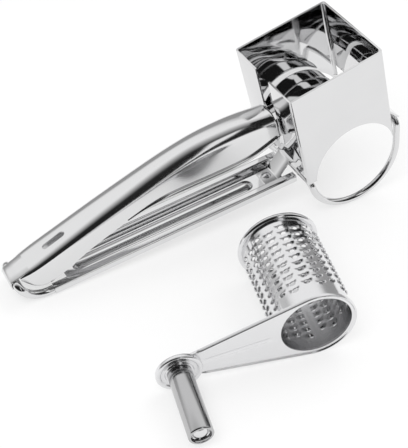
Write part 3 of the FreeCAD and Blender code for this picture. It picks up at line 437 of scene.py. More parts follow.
def outward(points, faces):
    """The faces, turned round if the skin's signed volume is negative."""
    corner = points[faces]
    first = np.einsum("ij,ij->i", corner[:, 0], np.cross(corner[:, 1], corner[:, 2]))
    second = np.einsum("ij,ij->i", corner[:, 0], np.cross(corner[:, 2], corner[:, 3]))
    return faces if (first + second).sum() > 0 else faces[:, ::-1]


def linked(name, data):
    """A new object with this data, in the scene."""
    made = bpy.data.objects.new(name, data)
    bpy.context.scene.collection.objects.link(made)
    return made


def smooth(mesh, sharp):
    """Smooth shading, but for edges that turn more than sharp degrees."""
    mesh.shade_smooth()
    mesh.set_sharp_from_angle(angle=math.radians(sharp))


def mesh_object(name, skins, place, sharp=35.0):
    """An object from closed skins, its doubles merged."""
    points, faces, first = [], [], 0
    for skin_points, skin_faces in skins:
        moved = place(skin_points)
        faces.append(outward(moved - moved.mean(axis=0), skin_faces) + first)
        points.append(moved)
        first += len(moved)
    mesh = bpy.data.meshes.new(name)
    mesh.from_pydata(np.concatenate(points).tolist(), [], np.concatenate(faces).tolist())
    build = bmesh.new()
    build.from_mesh(mesh)
    bmesh.ops.remove_doubles(build, verts=build.verts, dist=2e-6)
    bmesh.ops.dissolve_degenerate(build, edges=build.edges, dist=1e-7)
    build.to_mesh(mesh)
    build.free()
    smooth(mesh, sharp)
    return linked(name, mesh)


def dress(piece, body, slot, material, *nodes):
    """Gives a piece its body, its finish and the CAD nodes that it stands for; slot is not used."""
    piece.data.materials.clear()
    piece.data.materials.append(material)
    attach(piece, body)
    if nodes:
        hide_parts(*nodes)
    return piece


def apply_modifiers(piece):
    """The piece's mesh with its modifiers worked in."""
    bpy.context.view_layer.update()
    seen = piece.evaluated_get(bpy.context.evaluated_depsgraph_get())
    mesh = bpy.data.meshes.new_from_object(seen)
    piece.modifiers.clear()
    piece.data = mesh


def eased_copy(node, name, width, sharp=30.0):
    """A copy of a CAD node with its flat faces joined and its sharp edges rounded by width."""
    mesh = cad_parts[node].data.copy()
    mesh.name = name
    build = bmesh.new()
    build.from_mesh(mesh)
    bmesh.ops.remove_doubles(build, verts=build.verts, dist=1e-6)
    bmesh.ops.dissolve_limit(build, angle_limit=math.radians(0.5), verts=build.verts, edges=build.edges)
    build.to_mesh(mesh)
    build.free()
    piece = linked(name, mesh)
    bevel = piece.modifiers.new("rounded_edges", "BEVEL")
    bevel.width = width / 1000
    bevel.segments = 2
    bevel.limit_method = "ANGLE"
    bevel.angle_limit = math.radians(sharp)
    smooth(mesh, sharp)
    apply_modifiers(piece)
    smooth(piece.data, sharp)
    return piece


# ---------------------------------------------------------------- finishes
class Wire:
    """A node's output; arithmetic on it adds Math nodes."""

    def __init__(self, graph, socket):
        self.graph = graph
        self.socket = socket

    def math(self, operation, *others):
        values = dict(enumerate((self,) + others))
        return self.graph.node("ShaderNodeMath", {"operation": operation}, values)

    def __add__(self, other):
        return self.math("ADD", other)

    def __mul__(self, other):
        return self.math("MULTIPLY", other)

    def __sub__(self, other):
        return self.math("SUBTRACT", other)

    def __rsub__(self, other):
        return self.graph.node("ShaderNodeMath", {"operation": "SUBTRACT"}, {0: other, 1: self})

    __radd__ = __add__
    __rmul__ = __mul__


class Graph:
    """A material's or the world's node tree."""

    def __init__(self, owner):
        owner.use_nodes = True
        self.tree = owner.node_tree
        self.tree.nodes.clear()

    def node(self, kind, settings=None, values=None, output=0):
        """Adds a node: its settings first, then the values or wires of its sockets."""
        made = self.tree.nodes.new(kind)
        for key, value in (settings or {}).items():
            if key == "stops":
                elements = made.color_ramp.elements
                while len(elements) < len(value):
                    elements.new(1.0)
                for element, (position, level) in zip(elements, value):
                    element.position = position
                    element.color = colour_of(level)
            else:
                setattr(made, key, value)
        for key, value in (values or {}).items():
            if isinstance(value, Wire):
                self.tree.links.new(value.socket, made.inputs[key])
            else:
                made.inputs[key].default_value = value
        return Wire(self, made.outputs[output]) if len(made.outputs) else None


def soft_step(wire, start, end):
    """0 below start and 1 above end, with an S between them, as a Map Range node."""
    return wire.graph.node("ShaderNodeMapRange", {"interpolation_type": "SMOOTHSTEP"},
                           {0: wire, 1: start, 2: end, 3: 0.0, 4: 1.0})


def colour_of(red, green=None, blue=None):
    """A colour for a socket; one number alone is a grey."""
    return (red, red if green is None else green, red if blue is None else blue, 1.0)


def blended(share, first, second):
    """The first colour where the share is 0 and the second where it is 1."""
    return share.graph.node("ShaderNodeMix", {"data_type": "RGBA"}, {0: share, 6: first, 7: second}, 2)


CLOUD_SHADE = 0.93
# Painted shade: the share of the steel's colour that is left inside the drum's bore.
BORE_PAINTED_SHADE = 0.78
BORE_DULL = 0.04


def steel(name, place, tint, rough, spread, grain, waviness=0.0, scratch=0.0, brush=(1.0, 1.0, 1.0),
          bore=None):
    """Stainless steel: faint cloudy tint, roughness that varies with polishing marks, and a skin that
    is wavy at a large scale and scratched at a small one.

    brush stretches the marks: a small number makes them long in that direction of the place.  bore is
    a radius about the place's Y axis, in millimetres, inside which the steel is left duller and its
    colour darkened as painted shade."""
    material = bpy.data.materials.new(name)
    graph = Graph(material)
    point = graph.node("ShaderNodeTexCoord", output=3)
    own = graph.node("ShaderNodeMapping", {"vector_type": "POINT"},
                     {"Vector": point, "Rotation": place.matrix().to_euler()})
    stretched = graph.node("ShaderNodeMapping", {"vector_type": "POINT"},
                           {"Vector": own, "Scale": brush})
    marks = graph.node("ShaderNodeTexNoise", None, {"Vector": stretched, "Scale": grain, "Detail": 4.0,
                                                    "Roughness": 0.65})
    clouds = graph.node("ShaderNodeTexNoise", None, {"Vector": own, "Scale": 45.0, "Detail": 3.0})
    fine = graph.node("ShaderNodeTexNoise", None,
                      {"Vector": stretched, "Scale": grain * 4, "Detail": 2.0})
    level = clouds * 0.7 + marks * 0.3
    dark = colour_of(*(channel * CLOUD_SHADE for channel in tint))
    colour = blended(level, dark, colour_of(*tint))
    roughness = (marks - 0.5) * (2 * spread) + (clouds - 0.5) * spread + rough
    if bore is not None:
        # Painted shade: inside the bore radius the steel's colour is darkened, and its roughness is
        # raised as well.
        centre = graph.node("ShaderNodeVectorMath", {"operation": "SUBTRACT"},
                            {0: own, 1: place.turned_origin()})
        flat = graph.node("ShaderNodeVectorMath", {"operation": "MULTIPLY"},
                          {0: centre, 1: (1.0, 0.0, 1.0)})
        distance = graph.node("ShaderNodeVectorMath", {"operation": "LENGTH"}, {0: flat}, output=1)
        inside = 1 - soft_step(distance, (bore - 0.1) / 1000, (bore + 0.1) / 1000)
        shade = colour_of(*(channel * BORE_PAINTED_SHADE for channel in tint))
        colour = blended(inside, colour, shade)
        roughness = roughness + inside * BORE_DULL
    values = {"Base Color": colour, "Roughness": roughness.math("MAXIMUM", 0.02), "Metallic": 1.0}
    if waviness or scratch:
        height = clouds * waviness + (marks * 0.6 + fine * 0.4) * scratch
        values["Normal"] = graph.node("ShaderNodeBump", None,
                                      {"Strength": 1.0, "Distance": 1e-5, "Height": height})
    skin = graph.node("ShaderNodeBsdfPrincipled", None, values)
    graph.node("ShaderNodeOutputMaterial", None, {"Surface": skin})
    return material


mirror_sheet = steel("mirror_sheet", TOOL, (0.76, 0.76, 0.765), 0.05, 0.02, 90.0,
                     0.0, 0.03, (0.25, 1.0, 1.0))
polished_press = steel("polished_press", TOOL, (0.78, 0.78, 0.785), 0.13, 0.03, 90.0,
                       0.6, 0.08, (0.2, 1.0, 1.0))
polished_tray = steel("polished_tray", TOOL, (0.78, 0.78, 0.785), 0.08, 0.02, 90.0,
                      0.6, 0.05, (0.2, 1.0, 1.0))
polished_rod = steel("polished_rod", TOOL, (0.76, 0.76, 0.765), 0.12, 0.04, 160.0, 0.0, 0.10)
rivet_metal = steel("rivet_metal", TOOL, (0.72, 0.72, 0.73), 0.22, 0.05, 300.0, 0.0, 0.2)
# The drum's steel gets painted shade inside its bore.
drum_sheet = steel("drum_sheet", DRUM, (0.80, 0.80, 0.81), 0.14, 0.04, 140.0,
                   0.5, 0.12, (1.0, 0.3, 1.0), BORE_PAINTED_SHADE_RADIUS)
satin_crank = steel("satin_crank", DRUM, (0.83, 0.83, 0.84), 0.24, 0.05, 120.0,
                    1.0, 0.25, (0.15, 1.0, 1.0))
brushed_knob = steel("brushed_knob", DRUM, (0.52, 0.52, 0.525), 0.13, 0.04, 400.0,
                     0.0, 0.3, (1.0, 0.06, 1.0))


# ---------------------------------------------------------------- hopper, hoops and lower handle
def make_hopper():
    """The folded box with its edges eased."""
    piece = eased_copy("hopper", "hopper_sheet", 0.16)
    dress(piece, "housing", "sheet_steel", mirror_sheet, "hopper")


def make_folds():
    """The bends between the far wall and its neighbours: quarter hollows up both inner corners."""
    hollow = np.concatenate([arc((-FOLD_RADIUS, -FOLD_RADIUS), FOLD_RADIUS, 0, math.pi / 2, 12),
                             [(FOLD_BACK, FOLD_BACK)]])
    outline = hollow + (HOPPER_HALF_WIDTH - HOPPER_SHEET, HOPPER_HALF_DEPTH - HOPPER_SHEET)
    for name, side in (("fold_front", -1), ("fold_rear", 1)):
        skin = prism(outline * (1, side), outline.mean(axis=0) * (1, side), FOLD_FOOT, FOLD_TOP)
        dress(mesh_object(name, [skin], TOOL), "housing", "sheet_steel", mirror_sheet)


def hoop_path(side):
    """Half of the wire: lip bar, bend, upright, hoop round the seat, bend, cross bar."""
    level = side * (HOPPER_HALF_DEPTH - ROD_RADIUS)
    end_angle = cross_angle + math.atan(ROD_BEND / HOOP_RADIUS)
    start = np.array([LIP_BAR_X, 0.0, LIP_BAR_HEIGHT])
    corner = np.array([LIP_BAR_X, level, LIP_BAR_HEIGHT])
    top = np.array([HOOP_TOP[0], level, HOOP_TOP[1]])
    first = rounded([start, corner, top], [ROD_BEND], 14)
    ring = lifted(arc((SEAT_X, 0.0), HOOP_RADIUS, TURN - HOOP_LEAN, end_angle, 90), level)
    bar = np.array([CROSS_BAR[0], 0.0, CROSS_BAR[1]])
    corner = np.array([CROSS_BAR[0], level, CROSS_BAR[1]])
    last = rounded([ring[-1], corner, bar], [ROD_BEND * 0.999], 14)
    return np.concatenate([first[:-1], ring, last[1:]])


def make_hoops():
    """The two halves of the wire, mirrored about the tool's middle."""
    for name, side in (("hoop_front", -1), ("hoop_rear", 1)):
        piece = mesh_object(name + "_wire", [rod(hoop_path(side), ROD_RADIUS)], TOOL)
        dress(piece, "housing", "rod_steel", polished_rod, name)


def edge_profile():
    """Half of the tray's section, from the middle out: floor, rise, and a fold over and under the
    edge.  The points are on the sheet's upper face; the fold is a rounded square."""
    right, left = EDGE_HALF + EDGE_RADIUS, EDGE_HALF - EDGE_RADIUS + 0.3
    corners = [(0.0, -FLOOR_DROP), (left - 1.1, -FLOOR_DROP), (left, EDGE_RADIUS),
               (right, EDGE_RADIUS), (right, -EDGE_RADIUS), (left + 0.5, -EDGE_RADIUS),
               (left + 0.5, -FLOOR_DROP - 0.7)]
    line = rounded(corners, [1.0, 1.0, 1.15, 1.3, 0.5], 9)
    flat = np.stack([np.linspace(0, line[1, 0], 27)[:-1], np.full(26, -FLOOR_DROP)], axis=1)
    return np.concatenate([flat, resampled(line[1:], 0.16, 0.3)])


def bead_height(along, across):
    """The raised bead: a low arch across a stadium, highest along its middle line."""
    near = np.clip(along, -BEAD_END + BEAD_HALF, -BEAD_START - BEAD_HALF)
    share = np.clip(np.hypot(along - near, across) / BEAD_HALF, 0, 1)
    return BEAD_RISE * (1 - share ** 2) * (1 - ease(share, 0.86, 1.0)) ** 0.5


def make_lower_handle():
    """A tray of one sheet with both long edges curled and a raised bead along its middle."""
    half = edge_profile()
    tangent = headings(half)
    under = half + np.stack([tangent[:, 1], -tangent[:, 0]], axis=1) * HANDLE_SHEET
    top = np.concatenate([half[::-1] * (-1, 1), half[1:]])
    low = np.concatenate([under[::-1] * (-1, 1), under[1:]])
    curled = ease(np.abs(top[:, 0]), 5.0, 7.6)
    curled = np.maximum(curled, (top[:, 1] < -FLOOR_DROP - 0.05) * 1.0)
    start = -FLOOR_SETBACK * (1 - curled)
    end = -HANDLE_REACH + SEAM_GAP + FLOOR_SHORT * (1 - curled)
    share = 0.5 - 0.5 * np.cos(np.linspace(0, math.pi, 60))
    share = np.interp(np.linspace(0, 59, 190), np.arange(60),
                      0.55 * share + 0.45 * np.linspace(0, 1, 60))
    along = start[None] + (end - start)[None] * share[:, None]
    grids = []
    for section in (top, low):
        across = np.broadcast_to(section[:, 0], along.shape)
        height = section[:, 1] + bead_height(along, across) * (np.abs(across) < BEAD_HALF + 0.5)
        grids.append(xyz(along, across, height))
    piece = mesh_object("handle_tray", [walled(*grids)], HANDLE, 50.0)
    dress(piece, "housing", "sheet_steel", polished_tray, "lower_handle")


def make_tail_bar():
    """The U of round rod and its spigots in the curled edges."""
    skins = []
    low_turn = math.radians(270)
    bend = arc(BEND_CENTRE, BAR_BEND, low_turn - HANDLE_SLOPE, low_turn - BAR_RISE, 30)
    for side in (-1, 1):
        level = side * EDGE_HALF
        run = np.concatenate([lifted(np.array([SEAM, BAR_START]), level), lifted(bend, level)[1:]])
        corner = np.array([HINGE[0], level, HINGE[1]])
        middle = np.array([HINGE[0], 0.0, HINGE[1]])
        top = rounded([run[-1], corner, middle], [BAR_CORNER * 0.999], 12)
        skins.append(rod(np.concatenate([run, top[1:]]), BAR_RADIUS))
        spigot = np.linspace(SEAM - BACK_UP * SPIGOT_LENGTH, SEAM, 4)
        skins.append(rod(lifted(spigot, level), SPIGOT_RADIUS))
    piece = mesh_object("tail_bar_wire", skins, TOOL)
    dress(piece, "housing", "rod_steel", polished_rod, "tail_bar")


def make_strap():
    """The strap from the tray up and over the cross bar, in the handle's frame."""
    offset = (CROSS_BAR - EDGE_ORIGIN) @ np.array([[math.cos(HANDLE_SLOPE), math.sin(HANDLE_SLOPE)],
                                                  [-math.sin(HANDLE_SLOPE), math.cos(HANDLE_SLOPE)]])
    mid = ROD_RADIUS + ROD_CLEARANCE + STRAP_SHEET / 2
    floor = -FLOOR_DROP + STRAP_SHEET / 2
    turn = np.array([-STRAP_FOOT_END, floor])
    reach = np.linalg.norm(offset - turn)
    climb = math.atan2(offset[1] - turn[1], offset[0] - turn[0]) + math.asin(mid / reach)
    touch = climb + math.pi / 2
    foot = np.array([[-STRAP_FOOT_START, floor]])
    wrap = arc(offset, mid, touch, touch - STRAP_WRAP, 24)
    line = resampled(np.concatenate([foot, turn[None], wrap]), 0.3, 1.2)
    piece = mesh_object("bracket_strap", [band(line, STRAP_HALF, STRAP_SHEET, 0.2)], HANDLE)
    dress(piece, "housing", "sheet_steel", mirror_sheet, "handle_bracket")


# ---------------------------------------------------------------- press handle and presser
def press_sections(along, inset):
    """Sections across the press handle: straight sides under a superellipse crown.

    The crown's radius at angle a is ((cos a / width)^n + (sin a / rise)^n)^(-1/n); n falls from 4.6 at
    the tail, where the top is flat, to 2.6 at the crown, where it is gently arched."""
    along = along[:, None]
    width = softened(WIDTH_LINE, along, 6.0)
    top = softened(CROWN_LINE, along, 9.0) - inset
    foot = softened(FOOT_LINE, along, 3.0)
    share = np.minimum(along / CROWN_ALONG, 1)
    growth = share ** SHOULDER_GROWTH
    rise = TAIL_SHOULDER + (CROWN_SHOULDER - TAIL_SHOULDER) * growth - inset * 0.98
    power = 2.6 + 2.0 * (1 - share) ** 1.3
    half = width - inset
    angle = np.linspace(0, math.pi, 57)[None]
    reach = ((np.abs(np.cos(angle)) / half) ** power
             + (np.abs(np.sin(angle)) / rise) ** power) ** (-1 / power)
    arch_y = -reach * np.cos(angle)
    arch_z = top - rise + reach * np.sin(angle)
    share_up = np.linspace(0, 1, 9)[None, :-1]
    wall_z = foot + (top - rise - foot) * share_up
    wall_y = -half * np.ones_like(share_up)
    across = np.concatenate([wall_y, arch_y, -wall_y[:, ::-1]], axis=1)
    height = np.concatenate([wall_z, arch_z, wall_z[:, ::-1]], axis=1)
    return across, height, foot


def press_skin(inset, end, rounding):
    """The shell's grid from tail to nose; the nose turns in over a quarter circle to a flat end."""
    body = np.linspace(FOOT_LINE[0][0], end - rounding, 170)
    turn = np.linspace(0, math.pi / 2, 8)[1:]
    across, height, foot = press_sections(body, inset)
    rows = [xyz(body[:, None], across, height)]
    last_across, last_height, last_foot = across[-1], height[-1], foot[-1, 0]
    size = (last_height.max() - last_foot) / 2
    for angle in turn:
        pull = rounding * (1 - math.cos(angle))
        y = last_across * (1 - pull / np.abs(last_across).max())
        z = last_foot + (last_height - last_foot) * (1 - pull / (2 * size))
        rows.append(xyz(end - rounding + rounding * math.sin(angle), y, z)[None])
    for share in (0.8, 0.55, 0.3, 0.0):
        y = last_across * (1 - rounding / np.abs(last_across).max()) * share
        z = last_foot + (last_height - last_foot) * (1 - rounding / (2 * size)) * share
        rows.append(xyz(end, y, z)[None])
    return np.concatenate(rows)


def hook_skin():
    """The strip that folds over the hinge bar: a straight run, then three sides of a rounded square."""
    mid = BAR_RADIUS + HINGE_CLEARANCE + PRESS_SHEET / 2
    top, run_end = hermite(CROWN_LINE, np.array([1.0, HOOK_LEAD])) - PRESS_SHEET / 2 - 0.02
    corners = [(1.4, -mid), (-mid, -mid), (-mid, top - 0.7), (1.0, top), (HOOK_LEAD, run_end)]
    line = resampled(rounded(corners, [1.9, 2.1, 2.6], 12), 0.3, 0.6)
    narrow = 1 - 0.07 * (1 - ease(line[:, 0], -1.0, 4.0))
    return band(line, HOOK_HALF, PRESS_SHEET, 0.3, narrow)


def bead_skin(side):
    """The rolled bead along a lower edge of the press handle, thin at its start."""
    along = np.linspace(EDGE_BEAD_START - 14, NOSE_ALONG - EDGE_BEAD_RADIUS, 80)
    radius = EDGE_BEAD_RADIUS * (0.3 + 0.7 * ease(along, along[0], along[0] + 26))
    radius = radius * (1 - 0.55 * ease(along, along[-1] - 2.0, along[-1]) ** 2)
    path = xyz(along, side * softened(WIDTH_LINE, along, 6.0), softened(FOOT_LINE, along, 3.0) + radius)
    return rod(path, radius, 20)


def make_press_handle():
    """The shell, its hang slot cut by a stadium, and the hook and beads that trim it."""
    place = TOOL.inside((HINGE[0], 0, HINGE[1]), (1, 0, 0), (0, 1, 0), (0, 0, 1))
    shell = walled(press_skin(0.0, NOSE_ALONG, 2.0),
                   press_skin(PRESS_SHEET, NOSE_ALONG - PRESS_SHEET, 1.2))
    piece = mesh_object("press_shell", [shell], place, 40.0)
    length, width = HANG_LENGTH / 2, HANG_WIDTH / 2
    stadium = rounded([(-length, 0), (-length, width), (length, width), (length, -width),
                       (-length, -width), (-length, 0)], [HANG_WIDTH * 0.499] * 4, 12)[1:-1]
    middle = np.array([HANG_CENTRE, 0.0])
    column = prism(stadium + middle, middle, 0.0, SLOT_CUT_HEIGHT)
    cutter = mesh_object("slot_cutter", [column], place)
    cut = piece.modifiers.new("hang_slot", "BOOLEAN")
    cut.operation = "DIFFERENCE"
    cut.object = cutter
    cut.solver = "EXACT"
    apply_modifiers(piece)
    bpy.data.objects.remove(cutter)
    smooth(piece.data, 40.0)
    extra = mesh_object("press_trim", [hook_skin(), bead_skin(-1), bead_skin(1)], place, 40.0)
    dress(piece, "press", "sheet_steel", polished_press, "press_handle")
    dress(extra, "press", "sheet_steel", polished_press, "press_handle")


def make_arm():
    """The folded arm with its edges eased."""
    piece = eased_copy("presser_arm", "press_arm", 0.2)
    dress(piece, "press", "sheet_steel", mirror_sheet, "presser_arm")


def curved_sheet(low, high, start, end, half):
    """A sheet bent round Y at the plate's centre, from radius low to the radius high(angle, across).

    Angle and across run evenly but for a finer step at their ends."""
    steps = np.concatenate([[0, 0.002, 0.006], np.linspace(0.012, 0.988, 110), [0.994, 0.998, 1]])
    angle = (start + (end - start) * steps)[:, None]
    across = (half * (2 * steps - 1))[None]
    x, z = PLATE_CENTRE
    outer, inner = [xyz(x + radius * np.cos(angle), across, z + radius * np.sin(angle))
                    for radius in (high(angle, across), low)]
    return walled(outer, inner)


def make_plate():
    """The curved plate: an arc swept along Y, its rims rounded over a third of a millimetre."""
    def top(angle, across):
        rim = np.minimum(PLATE_HALF - np.abs(across),
                         np.minimum(angle - PLATE_FROM, PLATE_TO - angle) * PLATE_RADIUS)
        return PLATE_RADIUS - 0.3 * (1 - ease(rim, 0.0, 0.35))

    sheet = curved_sheet(PLATE_RADIUS - PLATE_SHEET, top, PLATE_FROM, PLATE_TO, PLATE_HALF)
    piece = mesh_object("press_plate", [sheet], TOOL, 50.0)
    dress(piece, "press", "sheet_steel", mirror_sheet, "presser_plate")


def make_saddle():
    """The band on the plate: flat in its middle, its long sides rolled down to the plate.

    Over the last stretch the upper face follows a quarter of an ellipse."""
    def top(angle, across):
        share = np.clip((np.abs(across) - SADDLE_HALF + SADDLE_EDGE) / SADDLE_EDGE, 0, 1)
        ends = np.minimum(angle - SADDLE_FROM, SADDLE_TO - angle) * PLATE_RADIUS
        fall = np.sqrt(np.maximum(1 - share ** 2, 0.0)) * (0.4 + 0.6 * ease(ends, 0.0, 1.0))
        return PLATE_RADIUS + SADDLE_RIM + (SADDLE_SHEET - SADDLE_RIM) * fall

    sheet = curved_sheet(PLATE_RADIUS + SADDLE_LIFT, top, SADDLE_FROM, SADDLE_TO, SADDLE_HALF)
    piece = mesh_object("press_saddle", [sheet], TOOL, 50.0)
    dress(piece, "press", "sheet_steel", mirror_sheet, "presser_bracket")


# ---------------------------------------------------------------- drum
def tooth_patch():
    """One raised tooth in its cell, as (turn, along) offsets from the cell's middle and rises.

    Rings run from the cell's border to the hole's edge.  The rise is greatest at the edge on one
    side, where the sheet leans over the hole like a scale, and nothing on the other.  The border has
    equal steps along its four sides, so that a column fits the next one half a pitch on."""
    quarter = TOOTH_SPOKES // 4
    run = np.linspace(-1, 1, quarter, endpoint=False)
    one = np.ones(quarter)
    square = np.concatenate([np.stack([-run, one]), np.stack([-one, -run]), np.stack([run, -one]),
                             np.stack([one, run])], axis=1)
    square = np.roll(square, -quarter, axis=1)
    spoke = np.arctan2(square[1], square[0])
    cell_half = np.array([math.pi / TOOTH_COLUMNS * BARREL_RADIUS, TOOTH_PITCH / 2])
    border = square * cell_half[:, None]
    lean = np.maximum(np.sin(spoke), 0)
    hole = np.stack([np.cos(spoke) * TOOTH_HALF_WIDTH * 0.66,
                     np.sin(spoke) * TOOTH_HALF_LENGTH * 0.55 - 0.35 - 0.25 * lean])
    root = np.stack([np.cos(spoke) * TOOTH_HALF_WIDTH, np.sin(spoke) * TOOTH_HALF_LENGTH * 1.25])
    rings, rises = [], []
    for share in TOOTH_RINGS:
        step = max(share - TOOTH_RINGS[1], 0) / (1 - TOOTH_RINGS[1])
        rings.append(border + (root - border) * min(share / TOOTH_RINGS[1], 1) + (hole - root) * step)
        rises.append(TOOTH_RISE * lean ** 0.6 * math.sin(step * math.pi / 2) ** 0.9)
    return np.array(rings), np.array(rises)


def drum_cells():
    """The middles of all the teeth: columns round the drum, each second one half a pitch on."""
    column = np.arange(TOOTH_COLUMNS)
    row = np.arange(TOOTH_ROWS)
    turn = np.repeat(TOOTH_PHASE + column * TURN / TOOTH_COLUMNS, TOOTH_ROWS)
    shift = np.repeat((column % 2) * 0.5, TOOTH_ROWS)
    return turn, TOOTH_START + TOOTH_PITCH * (np.tile(row, TOOTH_COLUMNS) + shift)


def make_barrel():
    """A thin tube: toothed cells, plain bands from them to both ends, and a wall round each end.

    A point is (radius cos turn, along, -radius sin turn).  The bands' levels are the cells' border
    steps wherever a neighbouring column has teeth."""
    rings, rises = tooth_patch()
    turn, along = drum_cells()
    ring_count, total = len(TOOTH_RINGS), len(turn) * len(TOOTH_RINGS) * TOOTH_SPOKES
    patch = quads(ring_count, TOOTH_SPOKES, wrap_columns=True)
    starts = (np.arange(len(turn)) * ring_count * TOOTH_SPOKES)[:, None, None]
    edge = np.arange(TOOTH_SPOKES) + (ring_count - 1) * TOOTH_SPOKES
    following = np.roll(edge, -1)
    wall = np.stack([following, edge, edge + total, following + total], axis=1)
    faces = [(patch[None] + starts).reshape(-1, 4),
             (patch[None, :, ::-1] + starts + total).reshape(-1, 4),
             (wall[None] + starts).reshape(-1, 4)]
    grids = []
    for thick in (0.0, BARREL_SHEET):
        angle = turn[:, None, None] + rings[None, :, 0] / BARREL_RADIUS
        radius = BARREL_RADIUS - thick + rises[None] * (1 - 0.1 * (thick > 0))
        reach = along[:, None, None] + rings[None, :, 1] + 0 * angle
        grids.append(xyz(radius * np.cos(angle), reach, -radius * np.sin(angle)).reshape(-1, 3))
    first = 2 * total
    quarter = TOOTH_SPOKES // 4
    steps = np.linspace(-1, 1, quarter + 1) * math.pi / TOOTH_COLUMNS
    lowest = TOOTH_START - TOOTH_PITCH / 2
    highest = lowest + TOOTH_PITCH * (TOOTH_ROWS + 0.5)
    for column in range(TOOTH_COLUMNS):
        odd = column % 2
        angle = TOOTH_PHASE + column * TURN / TOOTH_COLUMNS + steps
        low = lowest + TOOTH_PITCH * odd * 0.5
        below = np.linspace(lowest, low, 1 + 2 * odd)
        above = np.linspace(low + TOOTH_PITCH * TOOTH_ROWS, highest, 3 - 2 * odd)
        for levels in (np.concatenate([[BARREL_START], below]),
                       np.concatenate([above, [DRUM_LENGTH + BARREL_PAST]])):
            strips = [xyz(radius * np.cos(angle), levels[:, None], -radius * np.sin(angle))
                      for radius in (BARREL_RADIUS, BARREL_RADIUS - BARREL_SHEET)]
            count = len(levels) * (quarter + 1)
            grid = quads(len(levels), quarter + 1, first=first)
            faces += [grid, grid[:, ::-1] + count]
            last = 0 if levels[0] == BARREL_START else (len(levels) - 1) * (quarter + 1)
            rim = first + last + np.arange(quarter + 1)
            rim = rim if last == 0 else rim[::-1]
            faces.append(np.stack([rim[1:], rim[:-1], rim[:-1] + count, rim[1:] + count], axis=1))
            grids += [strip.reshape(-1, 3) for strip in strips]
            first += 2 * count
    return np.concatenate(grids), np.concatenate(faces)


def make_drum():
    """The toothed barrel and its rolled rim, whose outline is half a circle on the barrel."""
    barrel = mesh_object("toothed_barrel", [make_barrel()], DRUM, 48.0)
    dress(barrel, "drum", "drum_steel", drum_sheet, "drum_barrel")
    low, high = DRUM_LENGTH - RIM_WIDTH / 2, DRUM_LENGTH + RIM_WIDTH / 2
    bulge = arc((RIM_RADIUS - RIM_WIDTH / 2, DRUM_LENGTH), RIM_WIDTH / 2, -math.pi / 2, math.pi / 2, 20)
    profile = np.concatenate([[(BARREL_RADIUS, low)], bulge,
                              [(BARREL_RADIUS, high), (BARREL_RADIUS, DRUM_LENGTH)]])
    rim = mesh_object("rolled_rim", [revolved(profile, 144)], DRUM)
    dress(rim, "drum", "drum_steel", drum_sheet, "drum_rim")


def crank_outline(radius_cut):
    """The outline of ring and arm shrunk by radius_cut: two circles and their outer tangents, whose
    ends follow from the difference of the radii."""
    big, small = RING_RADIUS - radius_cut, CRANK_TIP - radius_cut
    lean = math.acos((RING_RADIUS - CRANK_TIP) / CRANK_LENGTH)
    ring = arc((0.0, 0.0), big, -(math.pi - lean), math.pi - lean, 120)
    tip = arc((-CRANK_LENGTH, 0.0), small, math.pi - lean, math.pi + lean, 40)
    upper = np.linspace(ring[-1], tip[0], 62)[1:-1]
    lower = np.linspace(tip[-1], ring[0], 62)[1:-1]
    return np.concatenate([ring, upper, tip, lower])


def make_crank():
    """The crank plate: rings shrunk from the outline make the lip, then lines run to the mouth."""
    cuts = np.array([0.0, 0.12, 0.35, 0.6, 0.85, 1.1, 1.4])
    lip = RING_LIP * np.array([0.45, 0.8, 0.98, 1.0, 0.85, 0.3, 0.0])
    outline = [crank_outline(cut) for cut in cuts]
    last = outline[-1]
    bearing = np.arctan2(last[:, 1], last[:, 0])
    mouth = np.stack([RING_HOLE * np.cos(bearing), RING_HOLE * np.sin(bearing)], axis=1)
    shares = np.linspace(0, 1, 40)[1:]
    flat = [last + (mouth - last) * share for share in shares]
    rings = np.array(outline + flat)
    height = np.concatenate([np.repeat(lip[:, None], len(last), axis=1),
                             np.zeros((len(flat), len(last)))])
    groove = np.clip(rings[..., 0], -CRANK_LENGTH + BOSS_RADIUS + GROOVE_FROM_BOSS,
                     -RING_RADIUS - GROOVE_FROM_RING)
    gap = np.hypot(rings[..., 0] - groove, rings[..., 1])
    height = height - GROOVE_DEPTH * (1 - ease(gap, GROOVE_FLOOR, GROOVE_EDGE)) * (height <= 0)
    fading = 1 - 0.75 * ease(-rings[..., 0], CRANK_LENGTH - 13, CRANK_LENGTH - 9)
    height = np.where(height > 0, height * fading, height)
    front = xyz(rings[..., 0], -height, rings[..., 1])
    back = xyz(rings[..., 0], CRANK_SHEET, rings[..., 1])
    piece = mesh_object("crank_sheet", [walled(front, back, wrap_columns=True)], DRUM, 40.0)
    dress(piece, "drum", "crank_steel", satin_crank, "crank_plate")


